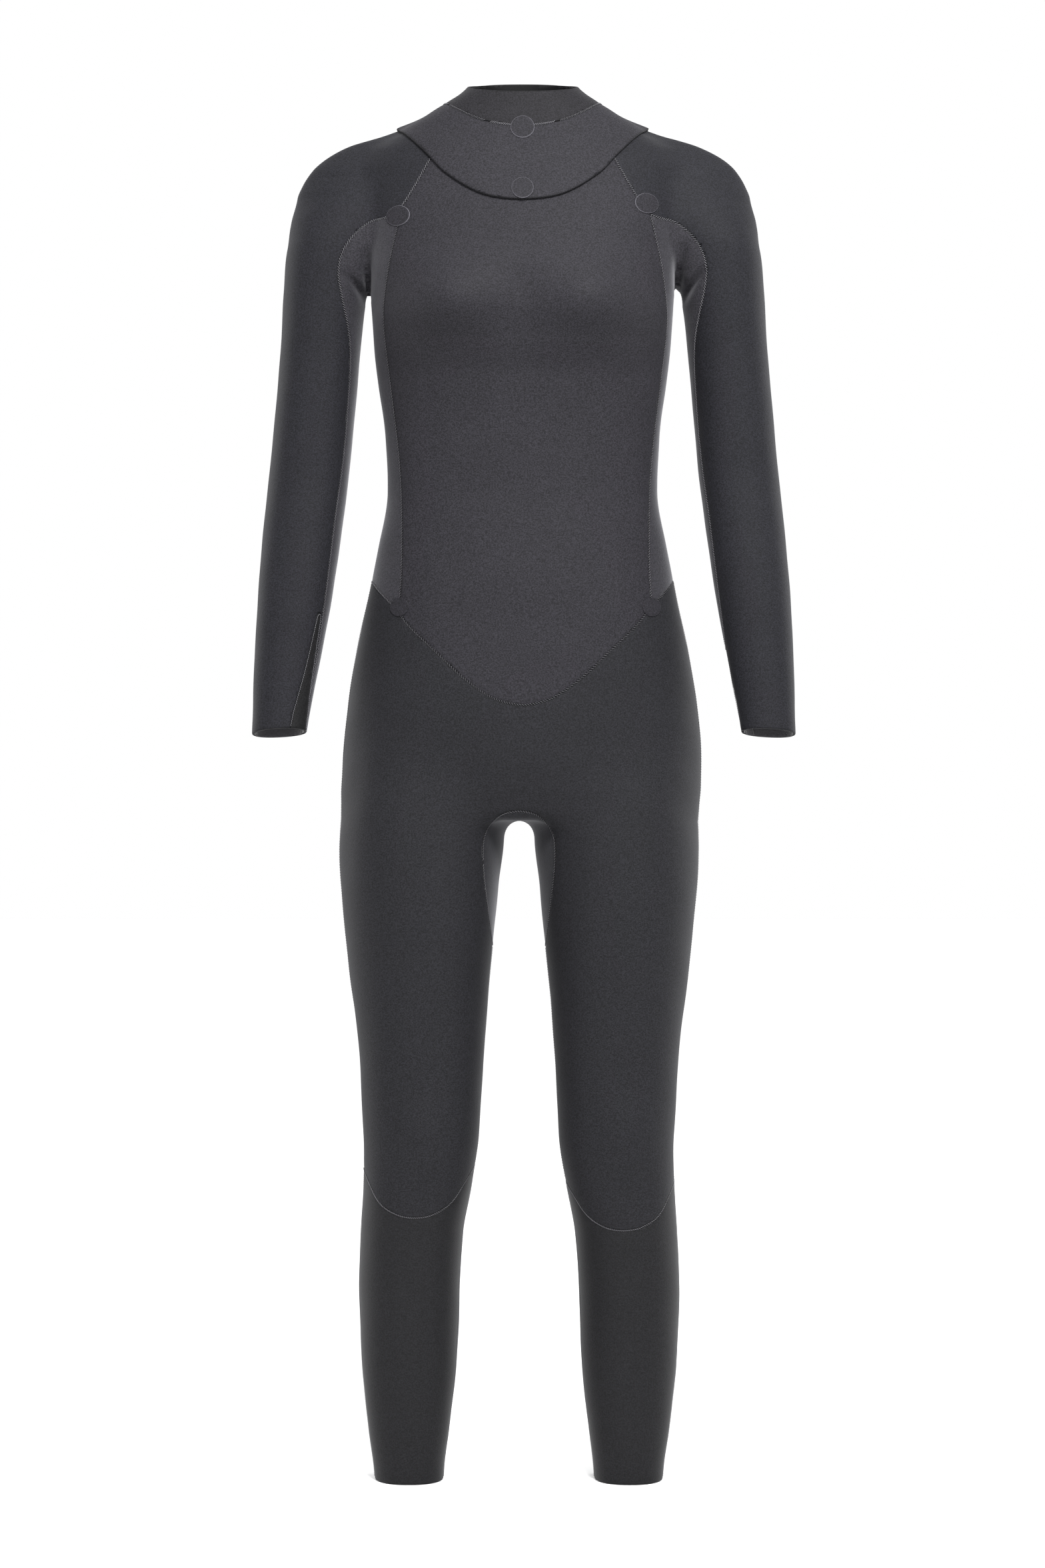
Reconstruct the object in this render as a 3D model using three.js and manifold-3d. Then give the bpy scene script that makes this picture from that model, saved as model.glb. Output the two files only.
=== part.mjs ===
// A women's full wetsuit, standing as it does on its wearer. Millimetres, +Z up, +X to the wearer's left,
// the chest faces -Y, and the ankle hems lie on z = 0.
//
// The suit is one skin of 3 mm neoprene. The skin is the space between two bodies built from stacked rings,
// and it is cut along its seams into panels. The neck yoke is a second skin that lies on the first: a collar,
// a flap over the chest and a back strip. It folds back about the seam across the shoulder blades, which
// opens the neck for the wearer to step in.

import * as THREE from "three";
import { mergeVertices } from "three/addons/utils/BufferGeometryUtils.js";
import Module from "manifold-3d";

const wasm = await Module();
wasm.setup();

// ---------- driving dimensions ----------

const NEOPRENE = 3; // thickness of every panel
const GAP = 0.3; // clearance between pieces that touch
const PATCH = 1; // thickness of a glued round patch
const SEAL = 1.2; // thickness of the smooth skin inside the collar
const FAR = 400; // past every surface of the suit
const OVERHEAD = 1450; // over the collar's rim
const UNDER_CUFFS = 715; // lower than the sleeves reach
const UNDER_HIP_SEAM = 700; // lower than the side panels reach
const LEG_SHIFT = -3.5; // the legs stand a little to the wearer's right
const SEAM_SHIFT = 3; // the suit sits turned a little to the wearer's left

const TORSO_SIDES = 28; // corners of each ring
const ARM_SIDES = 16;
const LEG_SIDES = 18;
const PATCH_SIDES = 28;
const SQUARENESS = 2.25; // exponent of the rings' super-ellipse, 2 being a true ellipse

const SPARE = 30; // the limbs run on past their openings by this much before they are trimmed
const RIM = { height: 1414, lean: 0.28 }; // collar rim: a plane that rises towards the nape
const CUFF = { x: 245, y: -44, z: 757, out: 0.085, forward: 0.184 }; // cuff plane, square to the forearm
const CUFF_ZONE = { from: 195, to: 330, low: 650, high: 800 }; // holds a cuff, and nothing of the hips

const CHEST_LAP = 28; // how far the chest panel runs up under the flap
const BACK_LAP = 12; // how far the back panel runs up under the yoke
const SHOULDER_SEAM_Y = 6; // the flap in front meets the back strip on top of the shoulder
const SIDE_DEPTH = 10; // the side panels keep at least this much before and behind the middle
const WEDGE_DEPTH = { right: [-FAR, -36], left: [-34, FAR] }; // in front of the arm, and behind it
const KNEE_HEIGHT = { right: 272, left: 259 }; // lowest point of each knee seam
const CHEST_PATCH = { x: 124, z: { right: 1273, left: 1286 }, rx: 12, rz: 10.5 };
const HIP_PATCH = { x: 126, z: 883, r: 9.5 };
const COLLAR_PATCH = { z: 1362, r: 12 };
const FLAP_PATCH = { z: 1297, r: 11 };

// Rings of the torso, from the crotch to the collar: [height, half width, depth in front, depth behind].
const TORSO = [
  [664, 176, 78, 100],
  [695, 183, 88, 113],
  [735, 182, 91, 118],
  [785, 177, 92, 115],
  [839, 169, 91, 106],
  [894, 157, 88, 92],
  [948, 146, 84, 78],
  [1002, 137, 82, 72],
  [1056, 139, 84, 72],
  [1110, 146, 92, 78],
  [1145, 150, 108, 84],
  [1180, 152, 119, 88],
  [1215, 155, 114, 92],
  [1250, 160, 100, 94],
  [1290, 164, 86, 93],
  [1325, 160, 74, 88],
  [1346, 146, 66, 80],
  [1360, 124, 60, 73],
  [1374, 101, 56, 66],
  [1388, 79, 52, 60],
  [1402, 60, 49, 55],
  [1422, 50, 45, 51],
  [1450, 48, 44, 50],
];

// Rings of the shoulder girdle, which fills the hollows between torso and arms, in the same order.
const SHOULDERS = [
  [1225, 178, 43, 54],
  [1270, 220, 51, 61],
  [1300, 230, 50, 60],
  [1318, 225, 44, 54],
  [1334, 214, 36, 46],
  [1346, 200, 27, 38],
  [1356, 180, 17, 29],
  [1364, 152, 8, 20],
];

// Rings of the wearer's left arm: [height, middle, half width, front, back].
const ARM = [
  [1356, 172, 8, -2, 14],
  [1347, 172, 29, -18, 30],
  [1330, 172, 46, -35, 45],
  [1300, 174, 57, -46, 55],
  [1250, 192, 49, -48, 56],
  [1205, 202, 42.5, -43, 54],
  [1140, 208, 40.5, -38, 51],
  [1029, 218, 40.5, -36, 48],
  [975, 224, 40, -42, 40],
  [905, 231, 38, -52, 24],
  [830, 239, 33, -60, 5],
  [757, 245.5, 27.5, -68, -20],
  [757 - SPARE, 248, 27, -73, -25],
];

// Rings of the wearer's left leg: [height, middle, half width, front, back].
const LEG = [
  [-SPARE, 111.5, 34.5, -34, 38],
  [0, 111.5, 35, -34, 38],
  [50, 112, 41, -38, 45],
  [114, 112, 48, -44, 60],
  [182, 112, 51, -49, 71],
  [250, 109, 52, -56, 70],
  [300, 103, 55, -65, 60],
  [351, 99, 58.5, -71, 52],
  [430, 99, 63, -75, 61],
  [521, 101, 72, -82, 80],
  [600, 101, 80, -87, 95],
  [660, 98, 85, -86, 102],
  [700, 97, 85, -84, 105],
  [730, 90, 74, -64, 84],
];

// Seams, seen from the front, on the wearer's left half: [x, z]. The other half mirrors them.
const FLAP_EDGE = [[0, 1285], [40, 1291], [75, 1313], [95, 1335], [127, 1370], [150, 1400]];
const YOKE_SEAM = [[0, 1325], [60, 1325], [95, 1338], [127, 1370], [150, 1400]];
const COLLAR_SEAM = [[0, 1363], [25, 1366], [48, 1373], [72, 1388], [95, 1410], [110, 1430]];
const RAGLAN_SEAM = [
  [60, 1390], [91, 1333], [124, 1279], [152, 1271], [170, 1257], [181, 1240], [185, 1222], [183, 1203],
  [174, 1150],
];
const INNER_ARM_SEAM = [
  [177, 1083], [182, 1029], [189, 975], [197, 905], [205, 845], [213, 797], [222, 745], [226, 715],
];
const SIDE_SEAM = [
  [124, 1450], [124, 1279], [134, 1235], [139, 1205], [142, 1170], [137, 1118], [126, 1020], [124, 930],
  [126, 883], [126, 780],
];
const HIP_SEAM = [
  [0, 784], [18, 787], [35, 794], [61, 813], [88, 839], [113, 863], [126, 880], [146, 902], [170, 935],
  [188, 840],
];
const GUSSET_SEAM = [
  [0, 679], [16, 676], [27, 667], [34, 655], [36, 640], [35, 615], [31, 580], [27, 545], [26, 520],
];
const KNEE_SEAM = [[62, 60], [50, 38], [36, 14], [18, 3], [0, 0], [-18, 3], [-36, 14], [-50, 34], [-62, 52]];
const KNEE_X = 104; // the knee seam's own middle
const WEDGE = [[202, 878], [205, 878], [213, 840], [219, 814], [229, 777], [240, 715], [222, 715], [213, 800]];

const COLOURS = {
  torso: { color: 0x4a494e, roughness: 0.9 },
  sleeve: { color: 0x3b3b3e, roughness: 0.92 },
  lower: { color: 0x3a393e, roughness: 0.92 },
  shin: { color: 0x353537, roughness: 0.92 },
  wedge: { color: 0x2c2c2e, roughness: 0.8 },
  patch: { color: 0x434247, roughness: 0.75 },
  seal: { color: 0x0c0c0d, roughness: 0.35 },
};

// ---------- solids ----------

function toSolid(geometry) {
  const bare = geometry.clone();
  bare.deleteAttribute("normal");
  bare.deleteAttribute("uv");
  const merged = mergeVertices(bare, 1e-3);
  return new wasm.Manifold(
    new wasm.Mesh({
      numProp: 3,
      vertProperties: merged.attributes.position.array,
      triVerts: new Uint32Array(merged.index.array),
    }),
  );
}

// A closed body whose rings are super-ellipses: [height, middle, half width, front, back].
function stack(rings, sides) {
  const points = [];
  for (const [z, middle, half, front, back] of rings) {
    const depthMiddle = (front + back) / 2;
    for (let i = 0; i < sides; i += 1) {
      const angle = (i / sides) * 2 * Math.PI;
      const c = Math.cos(angle);
      const s = Math.sin(angle);
      const x = Math.sign(c) * Math.abs(c) ** (2 / SQUARENESS) * half;
      const y = Math.sign(s) * Math.abs(s) ** (2 / SQUARENESS) * (back - front) / 2;
      points.push(middle + x, depthMiddle + y, z);
    }
  }
  const last = rings.length - 1;
  for (const row of [0, last]) {
    const [z, middle, , front, back] = rings[row];
    points.push(middle, (front + back) / 2, z);
  }
  const upwards = rings[last][0] > rings[0][0];
  const faces = [];
  const face = (a, b, c) => faces.push(...(upwards ? [a, b, c] : [a, c, b]));
  const bottomPole = rings.length * sides;
  for (let i = 0; i < sides; i += 1) {
    const j = (i + 1) % sides;
    for (let row = 0; row < last; row += 1) {
      const low = row * sides;
      const high = low + sides;
      face(low + i, low + j, high + j);
      face(low + i, high + j, high + i);
    }
    face(bottomPole, j, i);
    face(bottomPole + 1, last * sides + i, last * sides + j);
  }
  const geometry = new THREE.BufferGeometry();
  geometry.setAttribute("position", new THREE.Float32BufferAttribute(points, 3));
  geometry.setIndex(faces);
  return toSolid(geometry);
}

// The same rings moved inwards by `inset` on every side, and towards the body's middle at its closed ends.
function insetRings(rings, inset) {
  const top = Math.max(rings[0][0], rings.at(-1)[0]);
  const bottom = Math.min(rings[0][0], rings.at(-1)[0]);
  const centre = (top + bottom) / 2;
  const squash = 1 - inset / (top - centre);
  return rings.map(([z, middle, half, front, back]) => [
    centre + (z - centre) * squash,
    middle,
    half - inset,
    front + inset,
    back - inset,
  ]);
}

const centred = (rings) => rings.map(([z, half, front, back]) => [z, 0, half, -front, back]);

// Torso and shoulder girdle, moved inwards by `inset`.
function trunk(inset) {
  return stack(insetRings(centred(TORSO), inset), TORSO_SIDES)
    .add(stack(insetRings(centred(SHOULDERS), inset), TORSO_SIDES));
}

// One arm or leg. side is +1 on the wearer's left and -1 on the right.
function limb(rings, side, shift, inset, sides) {
  const placed = insetRings(rings, inset).map(([z, middle, half, front, back]) =>
    [z, side * middle + shift, half, front, back]);
  return stack(placed, sides);
}

// The whole suit as one solid, moved inwards by `inset`.
function suitBody(inset) {
  let body = trunk(inset);
  for (const side of [-1, 1]) {
    body = body.add(limb(ARM, side, 0, inset, ARM_SIDES));
    body = body.add(limb(LEG, side, LEG_SHIFT, inset, LEG_SIDES));
  }
  return body;
}

// ---------- cutters ----------

const mirrored = (half) => half.map(([x, z]) => [-x, z]).reverse();

const bothSides = (half) => [...mirrored(half), ...half.slice(half[0][0] === 0 ? 1 : 0)];

const shifted = (outline, dx, dz = 0) => outline.map(([x, z]) => [x + dx, z + dz]);

// Moves a closed outline outwards by `distance`, vertex by vertex.
function grow(outline, distance) {
  const area = outline.reduce((sum, [x, z], i) => {
    const [nx, nz] = outline[(i + 1) % outline.length];
    return sum + x * nz - nx * z;
  }, 0);
  const outward = Math.sign(area) * distance;
  return outline.map(([x, z], i) => {
    const [px, pz] = outline.at(i - 1);
    const [nx, nz] = outline[(i + 1) % outline.length];
    const before = new THREE.Vector2(x - px, z - pz).normalize();
    const after = new THREE.Vector2(nx - x, nz - z).normalize();
    const normal = new THREE.Vector2(before.y + after.y, -before.x - after.x).normalize();
    const miter = Math.max(0.5, normal.x * before.y - normal.y * before.x);
    return [x + (normal.x * outward) / miter, z + (normal.y * outward) / miter];
  });
}

// A front-view outline made solid between two depths.
function prism(outline, from, to) {
  const shape = new THREE.Shape(outline.map(([x, z]) => new THREE.Vector2(x, z)));
  const geometry = new THREE.ExtrudeGeometry(shape, { depth: to - from, bevelEnabled: false });
  geometry.rotateX(Math.PI / 2);
  geometry.translate(0, to, 0);
  return toSolid(geometry);
}

// The space above a plane through `point`, at right angles to `normal`.
function halfSpace(point, normal) {
  const geometry = new THREE.BoxGeometry(4 * FAR, 4 * FAR, 4 * FAR);
  geometry.translate(0, 0, 2 * FAR);
  const up = new THREE.Vector3(0, 0, 1);
  geometry.applyQuaternion(new THREE.Quaternion().setFromUnitVectors(up, normal.clone().normalize()));
  geometry.translate(point.x, point.y, point.z);
  return toSolid(geometry);
}

function ovalPost(x, z, rx, rz, from, to) {
  const outline = Array.from({ length: PATCH_SIDES }, (_, i) => {
    const angle = (i / PATCH_SIDES) * 2 * Math.PI;
    return [x + rx * Math.cos(angle), z + rz * Math.sin(angle)];
  });
  return prism(outline, from, to);
}

// Closes a line that runs across the suit into the outline of everything above or below it.
const above = (line) => [...line, [line.at(-1)[0], 4 * FAR], [line[0][0], 4 * FAR]];
const below = (line) => [...line, [line.at(-1)[0], -FAR], [line[0][0], -FAR]];

const rectangle = (x0, z0, x1, z1) => [[x0, z0], [x1, z0], [x1, z1], [x0, z1]];

// ---------- the main skin ----------

const pastRim = halfSpace(new THREE.Vector3(0, 0, RIM.height), new THREE.Vector3(0, -RIM.lean, 1));
const aboveHems = halfSpace(new THREE.Vector3(0, 0, 0), new THREE.Vector3(0, 0, 1));

function pastCuff(side) {
  const direction = new THREE.Vector3(side * CUFF.out, -CUFF.forward, -1);
  const { from, to, low, high } = CUFF_ZONE;
  return halfSpace(new THREE.Vector3(side * CUFF.x, CUFF.y, CUFF.z), direction)
    .intersect(prism(rectangle(side * from, low, side * to, high), -FAR, FAR));
}

// The step-in opening under the yoke, less the laps that the flap and the back strip cover.
const chestEdge = shifted(bothSides(FLAP_EDGE), 0, CHEST_LAP);
const backEdge = shifted(bothSides(YOKE_SEAM), 0, BACK_LAP);
const neckOpening = prism(above(chestEdge.slice(1, -1)), -FAR, SHOULDER_SEAM_Y)
  .add(prism(above(backEdge.slice(1, -1)), SHOULDER_SEAM_Y - GAP, FAR));

let skin = suitBody(0)
  .subtract(suitBody(NEOPRENE))
  .intersect(aboveHems)
  .subtract(pastRim)
  .subtract(pastCuff(-1))
  .subtract(pastCuff(1))
  .subtract(neckOpening);

const suit = new THREE.Group();

function addPiece(name, solid, look) {
  const { vertProperties, triVerts } = solid.getMesh();
  const geometry = new THREE.BufferGeometry();
  geometry.setAttribute("position", new THREE.BufferAttribute(vertProperties, 3));
  geometry.setIndex(new THREE.BufferAttribute(triVerts, 1));
  const piece = new THREE.Mesh(geometry, new THREE.MeshStandardMaterial({ ...look, metalness: 0 }));
  piece.name = name;
  suit.add(piece);
}

// Cuts the outline out of the skin as a panel of its own, and leaves the seam's gap round it.
function cutPanel(name, outline, from, to, look) {
  addPiece(name, skin.intersect(prism(outline, from, to)), look);
  skin = skin.subtract(prism(grow(outline, GAP), from - GAP, to + GAP));
}

const SIDES = [{ name: "right", sign: -1 }, { name: "left", sign: 1 }];
const onSide = (half, sign) => half.map(([x, z]) => [sign * x, z]);

for (const { name, sign } of SIDES) {
  cutPanel(`wrist_wedge_${name}`, onSide(WEDGE, sign), ...WEDGE_DEPTH[name], COLOURS.wedge);
}

for (const { name, sign } of SIDES) {
  const outline = [...RAGLAN_SEAM, ...INNER_ARM_SEAM, [FAR, UNDER_CUFFS], [FAR, OVERHEAD], [60, OVERHEAD]];
  cutPanel(`sleeve_${name}`, onSide(outline, sign), -FAR, FAR, COLOURS.sleeve);
}

cutPanel("crotch_gusset", shifted(bothSides(GUSSET_SEAM), LEG_SHIFT), -FAR, FAR, COLOURS.lower);

for (const { name, sign } of SIDES) {
  const knee = KNEE_SEAM.map(([x, z]) => [sign * (KNEE_X + x) + LEG_SHIFT, KNEE_HEIGHT[name] + z]);
  cutPanel(`shin_panel_${name}`, below(knee), -FAR, 0, COLOURS.shin);
  cutPanel(`calf_panel_${name}`, below(knee), 0, FAR, COLOURS.shin);
}

cutPanel("hips_front", below(bothSides(HIP_SEAM)), -FAR, 0, COLOURS.lower);
cutPanel("seat_panel", below(bothSides(HIP_SEAM)), 0, FAR, COLOURS.lower);

const MIDDLE_OF_TRUNK = shifted([...SIDE_SEAM, ...mirrored(SIDE_SEAM)], SEAM_SHIFT);
cutPanel("front_panel", MIDDLE_OF_TRUNK, -FAR, -SIDE_DEPTH, COLOURS.torso);
cutPanel("back_panel", MIDDLE_OF_TRUNK, SIDE_DEPTH, FAR, COLOURS.torso);

for (const { name, sign } of SIDES) {
  cutPanel(`side_panel_${name}`, rectangle(0, UNDER_HIP_SEAM, sign * FAR, OVERHEAD), -FAR, FAR, COLOURS.torso);
}

// ---------- the neck yoke ----------

const yokeSkin = trunk(-GAP - NEOPRENE).subtract(trunk(-GAP)).subtract(pastRim);
const COLLAR = above(bothSides(COLLAR_SEAM));
const collarZone = prism(COLLAR, -FAR, FAR);
const underCollar = yokeSkin.subtract(prism(grow(COLLAR, GAP), -FAR, FAR));
const flapZone = prism(above(bothSides(FLAP_EDGE)), -FAR, SHOULDER_SEAM_Y);
const backZone = prism(above(bothSides(YOKE_SEAM)), SHOULDER_SEAM_Y + GAP, FAR);

addPiece("collar", yokeSkin.intersect(collarZone), COLOURS.torso);
addPiece("yoke_flap", underCollar.intersect(flapZone), COLOURS.torso);
addPiece("yoke_back", underCollar.intersect(backZone), COLOURS.torso);
addPiece("neck_seal", trunk(0).subtract(trunk(SEAL)).subtract(pastRim).intersect(collarZone), COLOURS.seal);

// ---------- round patches over the seam ends ----------

const patchSkin = (body, under) => body(-under - GAP - PATCH).subtract(body(-under - GAP));
const onYoke = patchSkin(trunk, GAP + NEOPRENE);
const onSuit = patchSkin(suitBody, 0);

function addPatch(name, layer, x, z, rx, rz) {
  addPiece(name, layer.intersect(ovalPost(x, z, rx, rz, -FAR, 0)), COLOURS.patch);
}

addPatch("collar_patch", onYoke, 0, COLLAR_PATCH.z, COLLAR_PATCH.r, COLLAR_PATCH.r);
addPatch("flap_patch", onYoke, 0, FLAP_PATCH.z, FLAP_PATCH.r, FLAP_PATCH.r);
for (const { name, sign } of SIDES) {
  const { x, z, rx, rz } = CHEST_PATCH;
  const hipX = sign * HIP_PATCH.x + SEAM_SHIFT;
  addPatch(`chest_patch_${name}`, onSuit, sign * x, z[name], rx, rz);
  addPatch(`hip_patch_${name}`, onSuit, hipX, HIP_PATCH.z, HIP_PATCH.r, HIP_PATCH.r);
}

export default suit;
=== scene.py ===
"""A women's full wetsuit in 3 mm neoprene, standing as it does on its wearer.

One smooth skin is built round the wearer's body, cut along the suit's seams and turned into panels with rounded,
sewn edges. The neck yoke, a collar with a chest flap and a back strip, is a second layer that lies on the first.
Sizes in the tables are millimetres: +Z up, +X to the wearer's left, the chest faces -Y.
"""

import functools
import math

import bpy
import numpy as np
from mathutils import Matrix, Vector
from mathutils.kdtree import KDTree


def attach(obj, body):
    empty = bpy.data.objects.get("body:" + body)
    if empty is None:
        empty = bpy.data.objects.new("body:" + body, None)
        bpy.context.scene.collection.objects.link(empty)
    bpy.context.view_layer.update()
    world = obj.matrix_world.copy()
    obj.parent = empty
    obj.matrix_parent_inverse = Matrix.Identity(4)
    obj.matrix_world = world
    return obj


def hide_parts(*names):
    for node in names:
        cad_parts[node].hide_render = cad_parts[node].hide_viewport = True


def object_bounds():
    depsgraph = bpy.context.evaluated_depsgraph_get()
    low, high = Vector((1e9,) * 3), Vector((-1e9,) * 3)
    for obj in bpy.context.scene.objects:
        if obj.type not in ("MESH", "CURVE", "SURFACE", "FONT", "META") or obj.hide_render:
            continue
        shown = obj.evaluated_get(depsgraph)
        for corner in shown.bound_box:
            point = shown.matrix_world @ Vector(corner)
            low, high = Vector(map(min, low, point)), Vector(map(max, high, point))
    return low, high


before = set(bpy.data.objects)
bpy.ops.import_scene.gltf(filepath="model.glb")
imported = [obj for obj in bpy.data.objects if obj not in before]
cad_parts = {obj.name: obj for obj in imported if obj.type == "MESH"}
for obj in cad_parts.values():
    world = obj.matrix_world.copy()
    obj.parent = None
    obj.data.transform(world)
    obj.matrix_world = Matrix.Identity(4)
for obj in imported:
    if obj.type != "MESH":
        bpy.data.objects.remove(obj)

bl_info = {
    "name": "Full wetsuit",
    "version": (1, 0, 0),
    "blender": (4, 5, 0),
    "location": "3D View > Sidebar > Wetsuit",
    "description": "Builds the panels, neck yoke, patches and stitching of a full wetsuit",
    "category": "Add Mesh",
}

MM = 0.001
CAD_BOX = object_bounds()

# ---------- the body that the suit is stretched over ----------

FAR = 400.0
LEG_SHIFT = -3.5  # the legs stand a little to the wearer's right
ARM_SHIFT = 1.5  # and the shoulders a little to the left
SEAM_SHIFT = 3.0  # the suit sits turned a little to the wearer's left
SQUARENESS = 2.25  # exponent of the rings' super-ellipse, 2 being a true ellipse

# Rings of the torso, from the crotch to the collar: [height, half width, depth in front, depth behind].
TORSO = [
    [669, 163, 70, 90], [685, 172.5, 77, 99], [705, 179, 84, 108], [740, 182.2, 90, 116], [785, 178, 92, 115],
    [839, 169, 91, 106], [894, 157, 88, 92], [948, 146, 84, 78], [1002, 137, 82, 72], [1056, 139, 84, 72],
    [1110, 146, 92, 78],
    [1145, 150, 108, 84], [1180, 152, 119, 88], [1215, 155, 114, 92], [1250, 160, 100, 94], [1290, 164, 86, 93],
    [1325, 165, 74, 88], [1346, 156, 66, 80], [1356, 143, 61, 75], [1363, 130, 58, 71], [1371, 115, 56, 67],
    [1379, 101, 54, 64], [1387, 88.5, 52, 60], [1395, 75.5, 50.5, 57], [1403, 63, 49, 55], [1411, 55, 47, 53],
    [1422, 50, 45, 51], [1450, 48, 44, 50],
]

# Rings of the shoulder girdle, which fills the hollows between torso and arms, in the same order.
SHOULDERS = [
    [1225, 178, 42, 53], [1250, 215, 46, 56], [1273, 232, 48, 58], [1300, 230.5, 47, 57], [1314, 225.5, 43, 53],
    [1330, 215.5, 36, 46], [1338, 207.5, 31, 42], [1346, 196, 25, 36], [1355, 178, 17, 29], [1361, 159, 12, 24],
    [1366, 141, 9, 21], [1371, 125, 7, 19], [1376, 110, 6, 18], [1382, 94, 5, 17],
]

# Rings of the wearer's left arm: [height, middle, half width, front, back].
ARM = [
    [1318, 173, 20, -14, 26], [1300, 174, 37, -29, 40], [1275, 183, 48.5, -41, 52], [1250, 192, 48, -46, 55],
    [1205, 202, 42.5, -43, 54], [1140, 208, 40.5, -38, 51], [1029, 218, 40.5, -36, 48],
    [975, 224, 40, -42, 40], [905, 231, 38, -52, 24], [830, 239, 33, -60, 5], [757, 245.5, 27.5, -68, -20],
    [727, 248, 27, -73, -25],
]

# Rings of the wearer's left leg: [height, middle, half width, front, back].
LEG = [
    [-30, 111.5, 34.5, -34, 38], [0, 111.5, 35, -34, 38], [50, 112, 41, -38, 45], [114, 112, 48, -44, 60],
    [182, 112, 51, -49, 71], [250, 109, 52, -56, 70], [300, 103, 55, -65, 60], [351, 99, 58.5, -71, 52],
    [430, 99, 63, -75, 61], [521, 101, 72, -82, 80], [600, 101, 80, -87, 95], [650, 99, 83.5, -85, 100],
    [690, 97, 82, -81, 101], [725, 94, 77, -72, 92], [775, 86, 60, -44, 62],
]

# How softly each body runs into the rest.
GIRDLE_BLEND = 10.0
ARM_BLEND = 20.0
LEG_BLEND = 20.0

# Soft swellings and hollows: [x, front -1 or back +1, z, reach across, reach up and down, height]. x is mirrored.
RELIEF = [
    [72, -1, 1184, 38, 33, 15.0],  # bust
    [0, -1, 1174, 24, 44, -6.0],  # between the breasts
    [0, -1, 925, 60, 60, 3.0],  # belly
    [92, -1, 885, 26, 34, 2.0],  # hip bones
    [104, -1, 356, 28, 32, 4.0],  # kneecap
    [104, -1, 300, 30, 20, -3.0],  # under the kneecap
    [0, 1, 1100, 13, 170, -6.0],  # spine
    [76, 1, 1235, 40, 56, 6.0],  # shoulder blade
    [80, 1, 748, 52, 58, 9.0],  # seat
    [0, 1, 730, 13, 62, -9.0],  # between them
    [88, 1, 664, 46, 18, -5.0],  # crease under the seat
    [112, 1, 232, 28, 60, 3.0],  # calf
]

# Creases that the arms' hang pulls into the fabric: points [x, z], reach, depth, front -1 or back +1.
CREASES = [
    [[[-158, 1192], [-168, 1209], [-181, 1222]], 5.5, 3.4, -1],
    [[[-156, 1194], [-155, 1220], [-159, 1246]], 7.0, 2.4, -1],
    [[[161, 1192], [171, 1210], [184, 1226]], 6.0, 4.0, -1],
    [[[159, 1194], [157, 1222], [162, 1250]], 7.0, 2.8, -1],
    [[[-158, 1194], [-166, 1214], [-176, 1232]], 6.5, 2.6, 1],
    [[[160, 1194], [168, 1214], [178, 1232]], 6.5, 2.6, 1],
    [[[-150, 347], [-118, 341], [-76, 346]], 7.0, 1.6, 1],
    [[[150, 345], [112, 339], [70, 345]], 7.0, 1.6, 1],
]

# ---------- the cut of the suit ----------

SIDES = {"right": -1, "left": 1}
CHEST_LAP = 28.0  # how far the chest panel runs up under the flap
BACK_LAP = 12.0  # how far the back panel runs up under the yoke
SHOULDER_SEAM_Y = 6.0  # the flap in front meets the back strip on top of the shoulder
SIDE_DEPTH = 10.0  # the side panels keep at least this much before and behind the middle
RIM = {"height": 1414.0, "lean": 0.28}  # collar rim: a plane that rises towards the nape
CUFF = {"point": (245.0, -44.0, 757.0), "down": (-0.05, -0.184, -1.0)}  # cuff plane, level across the forearm
CUFF_FROM = 190.0  # past the hips
KNEE_HEIGHT = {"right": 272.0, "left": 259.0}
KNEE_X = 104.0
WEDGE_DEPTH = {"right": (-FAR, -36.0), "left": (-34.0, FAR)}

# Seams, seen from the front, on the wearer's left half: [x, z]. The other half mirrors them.
FLAP_EDGE = [[0, 1285], [40, 1291], [75, 1313], [95, 1335], [127, 1370], [150, 1400]]
YOKE_SEAM = [[0, 1325], [60, 1325], [95, 1338], [127, 1370], [150, 1400]]
COLLAR_SEAM = [[0, 1363], [25, 1366], [48, 1373], [72, 1388], [95, 1410], [110, 1430]]
RAGLAN_SEAM = [
    [60, 1390], [91, 1333], [124, 1279], [152, 1271], [170, 1257], [181, 1240], [185, 1222], [183, 1203],
    [174, 1150],
]
INNER_ARM_SEAM = [
    [177, 1083], [182, 1029], [189, 975], [197, 905], [205, 845], [213, 797], [222, 745], [226, 715],
]
SIDE_SEAM = [
    [124, 1279], [134, 1235], [139, 1205], [142, 1170], [137, 1118], [126, 1020], [124, 930], [126, 883],
    [126, 780],
]
HIP_SEAM = [
    [0, 784], [18, 787], [35, 794], [61, 813], [88, 839], [113, 863], [126, 880], [146, 902], [170, 935],
]
HIP_WIDTH = 188.0
HIP_SIDE = 840.0  # past the hip seam's ends, lower than they are, outside the body
SLEEVE_FOOT = 715.0  # below the cuffs
OVER_COLLAR = 1450.0  # above the whole suit
NECK_SIDE = 60.0  # where the sleeves' outline turns down again, beside the collar
GUSSET_SEAM = [
    [0, 679], [16, 676], [27, 667], [34, 655], [36, 640], [35, 615], [31, 580], [27, 545], [26, 520],
]
KNEE_SEAM = [[62, 60], [50, 38], [36, 14], [18, 3], [0, 0], [-18, 3], [-36, 14], [-50, 34], [-62, 52]]
WEDGE = [[202, 878], [205, 878], [213, 840], [219, 814], [229, 777], [240, 715], [222, 715], [213, 800]]


def pair(name):
    """The names of the wearer's right and left piece."""
    return [f"{name}_{side}" for side in SIDES]


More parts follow.
